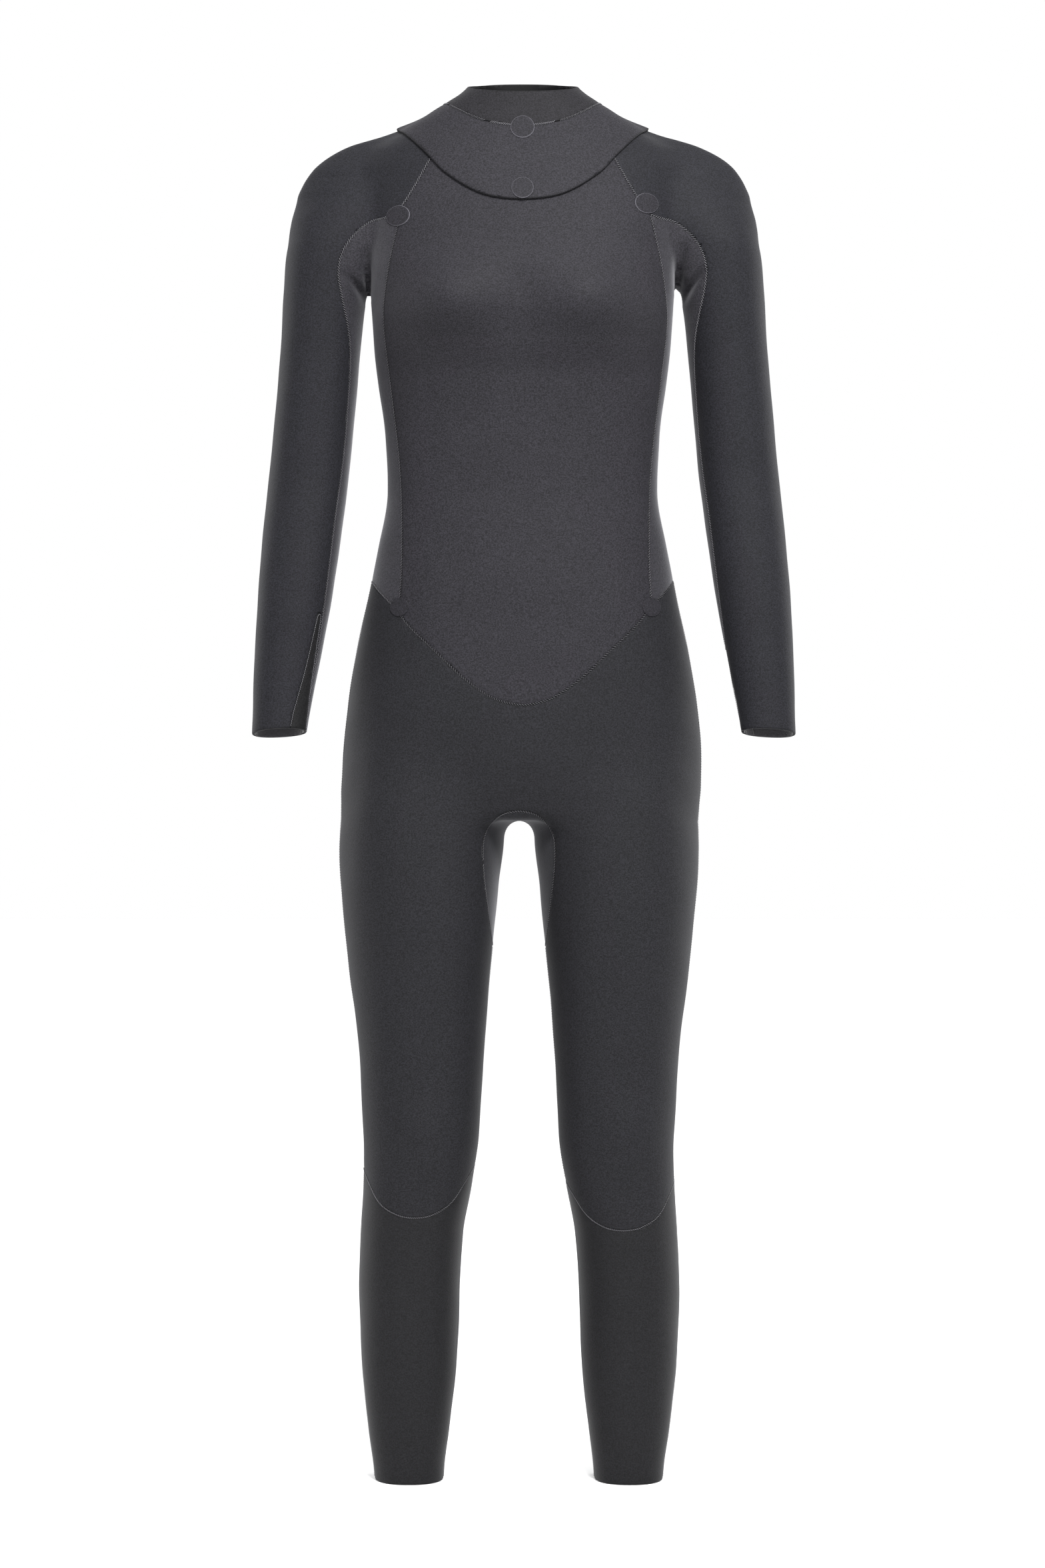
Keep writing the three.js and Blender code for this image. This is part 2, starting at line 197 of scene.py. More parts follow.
# Round patches: x, z, half width, half height, the layer that they lie on, and whether the rim is pale.
PATCHES = {
    "collar_patch": (0, 1362, 12, 12, "yoke", True),
    "flap_patch": (0, 1297, 11, 11, "yoke", True),
    "chest_patch_right": (-124, 1273, 12, 10.5, "suit", True),
    "chest_patch_left": (124, 1286, 12, 10.5, "suit", True),
    "hip_patch_right": (-126 + SEAM_SHIFT, 883, 9.5, 9.5, "suit", False),
    "hip_patch_left": (126 + SEAM_SHIFT, 883, 9.5, 9.5, "suit", False),
}

GAP = 0.3  # clearance between pieces that touch
PATCH = 1.0  # thickness of a round patch
SEAL = 1.2  # thickness of the smooth skin inside the collar
OPEN_CLOTH = 30.0  # this far from an edge or more, a seam has no effect on the cloth


# ---------- colours ----------


def linear(code):
    """An sRGB hex colour such as "#4a494e" as linear red, green and blue."""
    channels = [int(code[i : i + 2], 16) / 255 for i in (1, 3, 5)]
    return [c / 12.92 if c <= 0.04045 else ((c + 0.055) / 1.055) ** 2.4 for c in channels]


def colour_property(name, code, description):
    return bpy.props.FloatVectorProperty(
        name=name, description=description, subtype="COLOR", size=3, min=0, max=1, default=linear(code)
    )


def length_property(name, millimetres, description):
    return bpy.props.FloatProperty(
        name=name, description=description, default=millimetres * MM, min=0, unit="LENGTH", precision=4
    )


class WetsuitSizes(bpy.types.PropertyGroup):
    """Sizes of the cloth and the sewing."""

    neoprene: length_property("Neoprene", 3.0, "Thickness of every panel")
    mesh: length_property("Mesh", 3.0, "Spacing of the skin's points")
    edge: length_property("Edge", 0.9, "How far a panel's sewn edge is rounded over")
    pillow: length_property("Pillow", 0.35, "How far the foam is drawn down beside a seam")
    stitch: length_property("Stitch", 3.2, "Length of one stitch")
    pitch: length_property("Pitch", 1.9, "Distance from one stitch to the next")
    thread: length_property("Thread", 0.45, "Thickness of the thread")


class WetsuitColours(bpy.types.PropertyGroup):
    """Colours of the fabrics and the thread."""

    torso: colour_property("Torso jersey", "#1d1c20", "Chest, back, side panels and neck yoke")
    # painted shade: the collar's colour is the torso jersey made darker, standing in for the shade that falls on the
    # collar
    collar: colour_property("Collar jersey", "#161518", "Collar, over the black smooth skin")
    side: colour_property("Underarm jersey", "#212024", "Sides of the trunk and inside of the arms")
    sleeve: colour_property("Sleeve jersey", "#151519", "Shoulders and sleeves")
    lower: colour_property("Hip jersey", "#161619", "Hips and thighs")
    shin: colour_property("Shin jersey", "#121214", "Hard-wearing jersey below the knees")
    wedge: colour_property("Wedge jersey", "#101011", "Stretch wedge over the wrist")
    # painted shade: the lining is coloured dark for the shade inside the cuffs and ankle hems; the fleece itself is
    # paler
    lining: colour_property("Lining", "#232226", "Brushed lining inside the suit")
    seal: colour_property("Smooth skin", "#060607", "Smooth-skin neoprene inside the collar")
    foam: colour_property("Foam", "#1b1b1d", "Cut edge of the foam")
    patch: colour_property("Patch", "#1b1a1e", "Heat-pressed patches")
    patch_rim: colour_property("Patch rim", "#444348", "Glue line round a patch")
    pale_thread: colour_property("Pale thread", "#545358", "Stitching that shows")
    dark_thread: colour_property("Dark thread", "#3a393e", "Stitching in the suit's own colour")
    floor: colour_property("Floor", "#f4f4f4", "Studio floor")


# ---------- the skin as a field of distances ----------


def row_slopes(heights, rows):
    """Slopes for a curve through a table's rows that never overshoots them."""
    rise = np.diff(rows, axis=0) / np.diff(heights)[:, None]
    product = rise[:-1] * rise[1:]
    inner = np.where(product > 0, 2 * product / np.where(product > 0, rise[:-1] + rise[1:], 1), 0)
    return np.vstack([rise[:1], inner, rise[-1:]])


END_ROUNDING = 12.0  # a body's flat ends run round into its sides over this distance


class Stack:
    """A body of stacked super-ellipses whose sizes run smoothly from ring to ring."""

    MARGIN = 40.0

    def __init__(self, rings, side=1, shift=0.0):
        rows = np.array(sorted(rings), float)
        rows[:, 1] = side * rows[:, 1] + shift
        self.heights, self.rows = rows[:, 0], rows[:, 1:]
        self.slopes = row_slopes(self.heights, self.rows)
        middle, half, front, back = self.rows.T
        self.low = np.array([(middle - half).min(), front.min(), self.heights[0]]) - self.MARGIN
        self.high = np.array([(middle + half).max(), back.max(), self.heights[-1]]) + self.MARGIN

    def sizes(self, z):
        """Middle, half width, front and back at each height, and how they change with height."""
        beyond = ((z < self.heights[0]) | (z > self.heights[-1]))[:, None]
        z = np.clip(z, self.heights[0], self.heights[-1])
        i = np.clip(np.searchsorted(self.heights, z) - 1, 0, len(self.heights) - 2)
        step = (self.heights[i + 1] - self.heights[i])[:, None]
        t = (z - self.heights[i])[:, None] / step
        a, b = self.rows[i], self.rows[i + 1]
        m, n = self.slopes[i] * step, self.slopes[i + 1] * step
        value = a * (1 + 2 * t) * (1 - t) ** 2 + b * t * t * (3 - 2 * t) + m * t * (1 - t) ** 2 - n * t * t * (1 - t)
        change = ((b - a) * 6 * t * (1 - t) + m * (1 - t) * (1 - 3 * t) - n * t * (2 - 3 * t)) / step
        return value.T, np.where(beyond, 0, change).T

    def distance(self, points):
        """About how far each point is from the surface, negative inside, and the direction away from it."""
        found = np.full(len(points), FAR)
        away = np.zeros((len(points), 3))
        near = ((points > self.low) & (points < self.high)).all(1)
        x, y, z = points[near].T
        (middle, half, front, back), (d_middle, d_half, d_front, d_back) = self.sizes(z)
        deep, d_deep = (back - front) / 2, (d_back - d_front) / 2
        u, w = (x - middle) / half, (y - (front + back) / 2) / deep
        au, aw = np.abs(u) + 1e-6, np.abs(w) + 1e-6
        pu, pw = au ** (SQUARENESS - 1), aw ** (SQUARENESS - 1)
        level = np.maximum(pu * au + pw * aw, 1e-4) ** (1 / SQUARENESS)
        share = level ** (1 - SQUARENESS)
        across, along = pu * share / half, pw * share / deep
        drop = across * (np.sign(u) * d_middle + au / level * d_half)
        drop += along * (np.sign(w) * (d_front + d_back) / 2 + aw / level * d_deep)
        steep = np.sqrt(across**2 + along**2 + drop**2)
        side = (level - 1) / steep
        ends = np.maximum(z - self.heights[-1], self.heights[0] - z)
        share = np.clip(0.5 + (ends - side) / (2 * END_ROUNDING), 0, 1)
        sideways = np.stack([np.sign(u) * across, np.sign(w) * along, -drop], axis=1) / steep[:, None]
        upright = np.sign(z - self.heights.mean())[:, None] * np.array([0, 0, 1.0])
        away[near] = sideways * (1 - share[:, None]) + upright * share[:, None]
        rounding = np.maximum(END_ROUNDING - np.abs(side - ends), 0) / END_ROUNDING
        found[near] = np.maximum(side, ends) + rounding**2 * END_ROUNDING / 4
        return found, away


# How the blend's reach changes with the turn between two bodies' sides: 0 side by side, 1 face to face.
TURNS, REACHES = [0, 0.5, 1], [1, 1, 0.5]


def joined(a, b, reach):
    """The nearer of two distances, running smoothly from one body's side to the other's."""
    (near_a, away_a), (near_b, away_b) = a, b
    turn = (1 - (away_a * away_b).sum(1)) / 2
    reach = reach * np.interp(turn, TURNS, REACHES)
    meeting = np.maximum(reach - np.abs(near_a - near_b), 0) / reach
    near = np.minimum(near_a, near_b) - meeting**2 * reach / 4
    share = np.clip(0.5 + (near_b - near_a) / (2 * reach), 0, 1)[:, None]
    return near, share * away_a + (1 - share) * away_b


def centred(rings):
    return [[z, 0, half, -front, back] for z, half, front, back in rings]


TRUNK = Stack(centred(TORSO))
GIRDLE = Stack(centred(SHOULDERS), shift=ARM_SHIFT)
ARMS = [Stack(ARM, side, ARM_SHIFT) for side in (-1, 1)]
LEGS = [Stack(LEG, side, LEG_SHIFT) for side in (-1, 1)]


def body_distance(points):
    """About how far each point is from the wearer's body, negative inside."""
    found = joined(TRUNK.distance(points), GIRDLE.distance(points), GIRDLE_BLEND)
    for arm in ARMS:
        found = joined(found, arm.distance(points), ARM_BLEND)
    for leg in LEGS:
        found = joined(found, leg.distance(points), LEG_BLEND)
    return found[0]


def smooth_step(value, low, high):
    t = np.clip((value - low) / (high - low), 0, 1)
    return t * t * (3 - 2 * t)


def line_distance(x, z, line):
    """How far each point is from an open line, and how far along it the nearest place is, from 0 to 1."""
    best, place = np.full(len(x), FAR), np.zeros(len(x))
    line = np.array(line, float)
    lengths = np.linalg.norm(np.diff(line, axis=0), axis=1)
    before = np.concatenate([[0], np.cumsum(lengths)])
    for i, length in enumerate(lengths):
        (ax, az), (bx, bz) = line[i], line[i + 1]
        t = np.clip(((x - ax) * (bx - ax) + (z - az) * (bz - az)) / length**2, 0, 1)
        away = np.hypot(x - ax - t * (bx - ax), z - az - t * (bz - az))
        nearer = away < best
        best = np.where(nearer, away, best)
        place = np.where(nearer, (before[i] + t * length) / before[-1], place)
    return best, place


def relief(points):
    """How far the fabric stands out from the body's plain rings."""
    x, y, z = points.T
    height = np.zeros(len(points))
    facing = {-1: smooth_step(-y, -5, 25), 1: smooth_step(y, -5, 25)}
    for middle, face, level, wide, tall, amount in RELIEF:
        for side in {middle, -middle}:
            bump = np.exp(-(((x - side) / wide) ** 2) - ((z - level) / tall) ** 2)
            height += amount * bump * facing[face]
    for line, reach, depth, face in CREASES:
        low, high = np.min(line, axis=0) - 4 * reach, np.max(line, axis=0) + 4 * reach
        near = (x > low[0]) & (x < high[0]) & (z > low[1]) & (z < high[1])
        away, place = line_distance(x[near], z[near], line)
        ends = np.sin(np.pi * np.clip(place, 0, 1)) ** 0.5
        share = away / reach
        # a valley with a soft ridge on each side
        height[near] += depth * ends * (1.4 * share**2 - 1) * np.exp(-(share**2)) * facing[face][near]
    # the slow unevenness of foam on a body
    height += 0.35 * np.sin(x / 31 + 1.3 * np.sin(z / 57)) * np.sin(z / 43 + y / 29 + 0.7)
    height += 0.2 * np.sin(x / 13 + z / 23) * np.sin(z / 17 - x / 19 + y / 11)
    return height


def skin_distance(points):
    return body_distance(points) - relief(points)


def settled(points, rounds=2):
    """The points moved onto the skin, and the skin's outward direction there."""
    step = 0.4
    corners = np.array([[1, 1, 1], [1, -1, -1], [-1, 1, -1], [-1, -1, 1]], float)
    for _ in range(rounds):
        values = np.array([skin_distance(points + step * c) for c in corners])
        slope = values.T @ corners / (4 * step)
        size = np.maximum((slope**2).sum(1), 0.05)
        points = points - slope * (values.mean(0) / size)[:, None]
    return points, slope / np.sqrt(size)[:, None]


# ---------- meshes on the skin ----------


class Cloth:
    """A mesh of triangles on the skin: points, triangles, and the seam that each point lies on, or ""."""

    def __init__(self, points, faces, seams):
        used, faces = np.unique(faces, return_inverse=True)
        self.points, self.faces, self.seams = points[used], faces.reshape(-1, 3), seams[used]


def surface_net(field, origin, step):
    """Points and quads round the zero level of a grid of distances, one point in each cell that it crosses."""
    cells, crossings, sides = [], [], []
    shape = np.array(field.shape)
    for axis in range(3):
        ahead = np.roll(field, -1, axis)
        crossed = (field < 0) != (ahead < 0)
        crossed[tuple(slice(-1, None) if k == axis else slice(None) for k in range(3))] = False
        at = np.argwhere(crossed)
        near, far = field[crossed], ahead[crossed]
        place = at.astype(float)
        place[:, axis] += near / (near - far)
        b, c = (axis + 1) % 3, (axis + 2) % 3
        ring = []
        for db, dc in ((0, 0), (-1, 0), (-1, -1), (0, -1)):
            corner = at.copy()
            corner[:, b] += db
            corner[:, c] += dc
            ring.append(np.ravel_multi_index(corner.T, shape))
        cells.append(np.array(ring).T)
        crossings.append(place)
        sides.append(near < 0)
    cells, crossings, outward = np.vstack(cells), np.vstack(crossings), np.concatenate(sides)
    used, quads = np.unique(cells, return_inverse=True)
    quads = quads.reshape(-1, 4)
    count = np.bincount(quads.ravel(), minlength=len(used))
    total = [np.bincount(quads.ravel(), np.repeat(crossings[:, k], 4), len(used)) for k in range(3)]
    points = np.array(total).T / count[:, None]
    quads = np.where(outward[:, None], quads, quads[:, ::-1])
    return origin + points * step, quads


def edges_of(faces):
    """Each pair of corners that a face joins, once."""
    turned = np.roll(faces, -1, axis=1)
    return np.unique(np.sort(np.stack([faces.ravel(), turned.ravel()], axis=1), axis=1), axis=0)


def evened(points, quads, rounds):
    """The points slid along the skin until they are evenly spaced."""
    a, b = edges_of(quads).T
    count = np.bincount(a, minlength=len(points)) + np.bincount(b, minlength=len(points))
    for _ in range(rounds):
        total = np.stack(
            [
                np.bincount(a, points[b, k], len(points)) + np.bincount(b, points[a, k], len(points))
                for k in range(3)
            ],
            axis=1,
        )
        points, _ = settled(points + 0.5 * (total / count[:, None] - points), 1)
    return points


def triangles_of(points, quads):
    """Each quad cut along its shorter diagonal."""
    a, b, c, d = quads.T
    first = np.linalg.norm(points[a] - points[c], axis=1) < np.linalg.norm(points[b] - points[d], axis=1)
    one = np.where(first[:, None], np.stack([a, b, c], 1), np.stack([a, b, d], 1))
    two = np.where(first[:, None], np.stack([a, c, d], 1), np.stack([b, c, d], 1))
    return np.vstack([one, two])


@functools.cache
def whole_skin():
    """The suit's outer face as one closed mesh."""
    step = bpy.context.scene.wetsuit_sizes.mesh / MM
    low = np.min([s.low for s in (TRUNK, GIRDLE, *ARMS, *LEGS)], axis=0) + Stack.MARGIN - 4 * step
    high = np.max([s.high for s in (TRUNK, GIRDLE, *ARMS, *LEGS)], axis=0) - Stack.MARGIN + 4 * step
    x, y, z = (np.arange(low[k], high[k] + step, step) for k in range(3))
    field = np.empty((len(x), len(y), len(z)), np.float32)
    slab = 24
    for start in range(0, len(z), slab):
        grid = np.stack(np.meshgrid(x, y, z[start : start + slab], indexing="ij"), axis=-1)
        field[:, :, start : start + slab] = body_distance(grid.reshape(-1, 3)).reshape(grid.shape[:3])
    points, quads = surface_net(field, low, step)
    points, _ = settled(points, 2)
    points = evened(points, quads, 3)
    return Cloth(points, triangles_of(points, quads), np.full(len(points), "", object))


NEAR_END = 0.3  # a cut this near an edge's end, as a share of the edge, draws the end onto the cut


def split(cloth, value, seam):
    """Cuts cloth where value changes sign, and returns the part below zero and the part above it."""
    points, faces, seams = cloth.points.copy(), cloth.faces, cloth.seams.copy()
    s = value(points)
    a, b = edges_of(faces).T
    crossing = s[a] * s[b] < 0
    a, b = a[crossing], b[crossing]
    t = s[a] / (s[a] - s[b])
    nearness = np.minimum(t, 1 - t)
    order = np.argsort(-nearness)
    order = order[nearness[order] < NEAR_END]
    end = np.where(t < 0.5, a, b)[order]
    points[end] = (points[a] + t[:, None] * (points[b] - points[a]))[order]
    s[end] = 0
    crossing = s[a] * s[b] < 0
    a, b, t = a[crossing], b[crossing], t[crossing]
    first_new, count = len(points), len(points) + 1
    points = np.vstack([points, cloth.points[a] + t[:, None] * (cloth.points[b] - cloth.points[a])])
    seams = np.concatenate([seams, np.full(len(a), "", object)])
    s = np.concatenate([s, np.zeros(len(a))])
    keys = a * count + b  # in order, as edges_of gives them
    seams[s == 0] = seam

    def new_point(i, j):
        key = np.minimum(i, j) * count + np.maximum(i, j)
        k = np.minimum(np.searchsorted(keys, key), max(len(keys) - 1, 0))
        return np.where(keys[k] == key, first_new + k, -1) if len(keys) else np.full(len(i), -1)

    made = []
    crossed = np.stack([new_point(faces[:, i], faces[:, (i + 1) % 3]) for i in range(3)], axis=1)
    number = (crossed >= 0).sum(1)
    made.append(faces[number == 0])
    for i in range(3):
        j, k = (i + 1) % 3, (i + 2) % 3
        once = (number == 1) & (crossed[:, i] >= 0)
        p, q, r, m = faces[once, i], faces[once, j], faces[once, k], crossed[once, i]
        made += [np.stack([p, m, r], 1), np.stack([m, q, r], 1)]
        twice = (number == 2) & (crossed[:, i] >= 0) & (crossed[:, k] >= 0)  # corner i is alone
        p, q, r = faces[twice, i], faces[twice, j], faces[twice, k]
        m, n = crossed[twice, i], crossed[twice, k]
        made += [np.stack([p, m, n], 1), np.stack([m, q, r], 1), np.stack([m, r, n], 1)]
    faces = np.vstack(made)
    side = np.sign(s[faces]).sum(1)
    flat = side == 0
    if flat.any():
        side[flat] = np.sign(value(points[faces[flat]].mean(1)))
    return Cloth(points, faces[side < 0], seams), Cloth(points, faces[side >= 0], seams)


def main_part(cloth):
    """The cloth without any stray scraps: only its largest connected part."""
    label = np.arange(len(cloth.points))
    a, b = edges_of(cloth.faces).T
    while True:
        lowest = np.minimum(label[a], label[b])
        fresh = label.copy()
        np.minimum.at(fresh, a, lowest)
        np.minimum.at(fresh, b, lowest)
        fresh = fresh[fresh]
        if (fresh == label).all():
            break
        label = fresh
    parts = label[cloth.faces[:, 0]]
    names, sizes = np.unique(parts, return_counts=True)
    return Cloth(cloth.points, cloth.faces[parts == names[sizes.argmax()]], cloth.seams)


# ---------- outlines ----------


def smooth(line, pieces=6):
    """A smooth curve through the line's points, as closer points."""
    line = np.array(line, float)
    ends = np.vstack([2 * line[0] - line[1], line, 2 * line[-1] - line[-2]])
    t = np.linspace(0, 1, pieces, endpoint=False)[:, None]
    curve = []
    for p, q, r, s in zip(ends[:-3], ends[1:-2], ends[2:-1], ends[3:]):
        turn = 2 * p - 5 * q + 4 * r - s
        curve.append(0.5 * (2 * q + (r - p) * t + turn * t**2 + (3 * q - p - 3 * r + s) * t**3))
    return np.vstack([*curve, line[-1:]]).tolist()


def mirrored(half):
    return [[-x, z] for x, z in reversed(half)]


def both_sides(half):
    return smooth([*mirrored(half), *(half[1:] if half[0][0] == 0 else half)])


def moved(line, dx, dz=0.0):
    return [[x + dx, z + dz] for x, z in line]


def above(line):
    return [*line, [line[-1][0], 4 * FAR], [line[0][0], 4 * FAR]]


def below(line):
    return [*line, [line[-1][0], -FAR], [line[0][0], -FAR]]


def outline_distance(points, outline):
    """How far each point is from a closed front-view outline, negative inside."""
    start = np.array(outline, float)
    end = np.roll(start, -1, axis=0)
    along = end - start
    size = (along**2).sum(1)
    found = np.empty(len(points))
    block = 20000
    for first in range(0, len(points), block):
        x, z = points[first : first + block, 0, None], points[first : first + block, 2, None]
        rx, rz = x - start[:, 0], z - start[:, 1]
        t = np.clip((rx * along[:, 0] + rz * along[:, 1]) / size, 0, 1)
        away = np.hypot(rx - t * along[:, 0], rz - t * along[:, 1]).min(1)
        over = (start[:, 1] > z) != (end[:, 1] > z)
        slope = along[:, 0] / np.where(along[:, 1] == 0, 1, along[:, 1])
        inside = (over & (x < start[:, 0] + rz * slope)).sum(1) % 2 == 1
        found[first : first + block] = np.where(inside, -away, away)
    return found


def cut(cloth, outline, low, high, seam):
    """Cuts the outline, between two depths, out of cloth: the piece, and what is left."""

    def value(points):
        depth = np.maximum(low - points[:, 1], points[:, 1] - high)
        return np.maximum(outline_distance(points, outline), depth)

    piece, rest = split(cloth, value, seam)
    return main_part(piece), rest


@functools.cache
def suit_cloth():
    """The main skin, cut into its panels."""
    skin, _ = split(whole_skin(), lambda p: -p[:, 2], "ankle")
    for sign in SIDES.values():
        point, down = np.array(CUFF["point"]), np.array(CUFF["down"])

        def past_cuff(p, sign=sign):
            beyond = (p * [sign, 1, 1] - point) @ (down / np.linalg.norm(down))
            return np.where(sign * p[:, 0] > CUFF_FROM, beyond, -FAR)

        skin, _ = split(skin, past_cuff, "cuff")
    chest = above(moved(both_sides(FLAP_EDGE), 0, CHEST_LAP))
    back = above(moved(both_sides(YOKE_SEAM), 0, BACK_LAP))
    _, skin = cut(skin, chest, -FAR, SHOULDER_SEAM_Y, "lap")
    _, skin = cut(skin, back, SHOULDER_SEAM_Y, FAR, "lap")
    panels = {}
    for name, sign in SIDES.items():
        outline = [[sign * x, z] for x, z in WEDGE]
        panels[f"wrist_wedge_{name}"], skin = cut(skin, outline, *WEDGE_DEPTH[name], "wedge")
    for name, sign in SIDES.items():
        line = smooth([*RAGLAN_SEAM, *INNER_ARM_SEAM])
        line += [[FAR, SLEEVE_FOOT], [FAR, OVER_COLLAR], [NECK_SIDE, OVER_COLLAR]]
        outline = [[sign * x, z] for x, z in line]
        panels[f"sleeve_{name}"], skin = cut(skin, outline, -FAR, FAR, "raglan")
    gusset = moved(both_sides(GUSSET_SEAM), LEG_SHIFT)
    panels["crotch_gusset"], skin = cut(skin, gusset, -FAR, FAR, "gusset")
    for name, sign in SIDES.items():
        knee = smooth([[sign * (KNEE_X + x) + LEG_SHIFT, KNEE_HEIGHT[name] + z] for x, z in KNEE_SEAM])
        panels[f"shin_panel_{name}"], skin = cut(skin, below(knee), -FAR, 0, "knee")
        panels[f"calf_panel_{name}"], skin = cut(skin, below(knee), 0, FAR, "knee")
    hip = both_sides(HIP_SEAM)
    hip = below([[-HIP_WIDTH, HIP_SIDE], *hip, [HIP_WIDTH, HIP_SIDE]])
    panels["hips_front"], skin = cut(skin, hip, -FAR, 0, "hip")
    panels["seat_panel"], skin = cut(skin, hip, 0, FAR, "hip")
    side = [[SIDE_SEAM[0][0], OVER_COLLAR], *smooth(SIDE_SEAM)]
    middle = moved([*side, *mirrored(side)], SEAM_SHIFT)
    panels["front_panel"], skin = cut(skin, middle, -FAR, -SIDE_DEPTH, "side")
    panels["back_panel"], skin = cut(skin, middle, SIDE_DEPTH, FAR, "side")
    for name, sign in SIDES.items():
        half = skin.faces[sign * skin.points[skin.faces, 0].mean(1) > 0]
        panels[f"side_panel_{name}"] = main_part(Cloth(skin.points, half, skin.seams))
    return panels


@functools.cache
def yoke_cloth():
    """The second skin round the neck, cut into its pieces."""
    rise = math.hypot(1, RIM["lean"])

    def past_rim(p):
        return (p[:, 2] - RIM["height"] - RIM["lean"] * p[:, 1]) / rise

    skin, _ = split(whole_skin(), past_rim, "rim")
    pieces = {}
    pieces["collar"], skin = cut(skin, above(both_sides(COLLAR_SEAM)), -FAR, FAR, "collar")
    pieces["yoke_flap"], skin = cut(skin, above(both_sides(FLAP_EDGE)), -FAR, SHOULDER_SEAM_Y, "flap")
    pieces["yoke_back"], skin = cut(skin, above(both_sides(YOKE_SEAM)), SHOULDER_SEAM_Y, FAR, "yoke")
    return pieces


# ---------- panels with thickness ----------


def borders_of(faces, count):
    """The directed edges that only one face has."""
    start, end = faces.ravel(), np.roll(faces, -1, axis=1).ravel()
    alone = ~np.isin(start * count + end, end * count + start)
    return start[alone], end[alone]


def unit(vectors):
    return vectors / np.maximum(np.linalg.norm(vectors, axis=1), 1e-9)[:, None]


def edge_distances(points, border):
    """How far each point is from the nearest point of the border, up to OPEN_CLOTH."""
    tree = KDTree(len(border))
    for i, place in enumerate(border):
        tree.insert(place, i)
    tree.balance()
    return np.array([min(tree.find(place)[2], OPEN_CLOTH) for place in points])


def new_mesh(name, points, faces, slots):
    """A mesh in metres from points in millimetres and triangles."""
    mesh = bpy.data.meshes.new(name)
    mesh.vertices.add(len(points))
    mesh.vertices.foreach_set("co", (np.asarray(points) * MM).astype(np.float32).ravel())
    mesh.loops.add(3 * len(faces))
    mesh.loops.foreach_set("vertex_index", faces.astype(np.int32).ravel())
    mesh.polygons.add(len(faces))
    mesh.polygons.foreach_set("loop_start", np.arange(0, 3 * len(faces), 3, dtype=np.int32))
    mesh.polygons.foreach_set("material_index", slots.astype(np.int32))
    mesh.polygons.foreach_set("use_smooth", np.full(len(faces), True))
    mesh.update(calc_edges=True)
    return mesh


def new_object(name, mesh, materials):
    made = bpy.data.objects.new(name, mesh)
    for material in materials:
        mesh.materials.append(material)
    bpy.context.scene.collection.objects.link(made)
    return made


def panel(name, cloth, lift, thickness, materials):
    """A panel whose outer face stands `lift` above the body, with sewn-down edges. Materials: face, lining, foam."""
    sizes = bpy.context.scene.wetsuit_sizes
    edge, pillow = sizes.edge / MM, sizes.pillow / MM
    points, outward = settled(cloth.points)
    count = len(points)
    start, end = borders_of(cloth.faces, count)
    border = np.unique(np.concatenate([start, end]))
    direction = unit(points[end] - points[start])
    inward = np.zeros((count, 3))
    for ends in (start, end):
        np.add.at(inward, ends, np.cross(outward[ends], direction))
    inward = unit(inward)
    shares = np.linspace(0, 1, 5)[:-1, None, None]
    seam = (points[start] * (1 - shares) + points[end] * shares).reshape(-1, 3)
    away = edge_distances(points, seam)
    outer = points + outward * (lift - pillow * np.exp(-away / 4))[:, None]
    outer[border] += inward[border] * edge
    inner = points + outward * (lift - thickness)
    inner[border] += inward[border] * GAP / 2
    rows = [border]
    layers = [outer, inner]
    profile = [(0.42 * edge, 0.16 * edge), (GAP / 2, 0.75 * edge)]  # how far in, and how far down
    for inset, drop in profile:
        layers.append(outer[border] + inward[border] * (inset - edge) - outward[border] * drop)
    place = np.full(count, -1)
    place[border] = np.arange(len(border))
    for i in range(len(profile)):
        rows.append(2 * count + i * len(border) + np.arange(len(border)))
    rows.append(border + count)
    faces, slots = [cloth.faces, cloth.faces[:, ::-1] + count], [0, 1]
    for i, (upper, lower) in enumerate(zip(rows[:-1], rows[1:])):
        a, b, c, d = upper[place[end]], upper[place[start]], lower[place[start]], lower[place[end]]
        faces += [np.stack([a, b, c], 1), np.stack([a, c, d], 1)]
        slots += [2 if i == len(profile) else 0] * 2
    slots = np.concatenate([np.full(len(f), s) for f, s in zip(faces, slots)])
    mesh = new_mesh(name, np.vstack(layers), np.vstack(faces), slots)
    margin = mesh.attributes.new("edge_mm", "FLOAT", "POINT")
    rim = np.zeros(len(profile) * len(border))
    margin.data.foreach_set("value", np.concatenate([away, np.full(count, OPEN_CLOTH), rim]).astype(np.float32))
    return new_object(name, mesh, materials)


# ---------- materials ----------


def add_node(tree, kind, inputs=None, **settings):
    """A node with its settings, and its inputs given as values or as the outputs that feed them."""
    made = tree.nodes.new(kind)
    for key, value in settings.items():
        setattr(made, key, value)
    for key, value in (inputs or {}).items():
        if isinstance(value, bpy.types.NodeSocket):
            tree.links.new(value, made.inputs[key])
        else:
            made.inputs[key].default_value = value
    return made


def fresh_material(name):
    material = bpy.data.materials.new(name)
    material.use_nodes = True
    material.node_tree.nodes.clear()
    return material, material.node_tree


def shade(colour, factor):
    return [*(min(1.0, c * factor) for c in colour), 1.0]


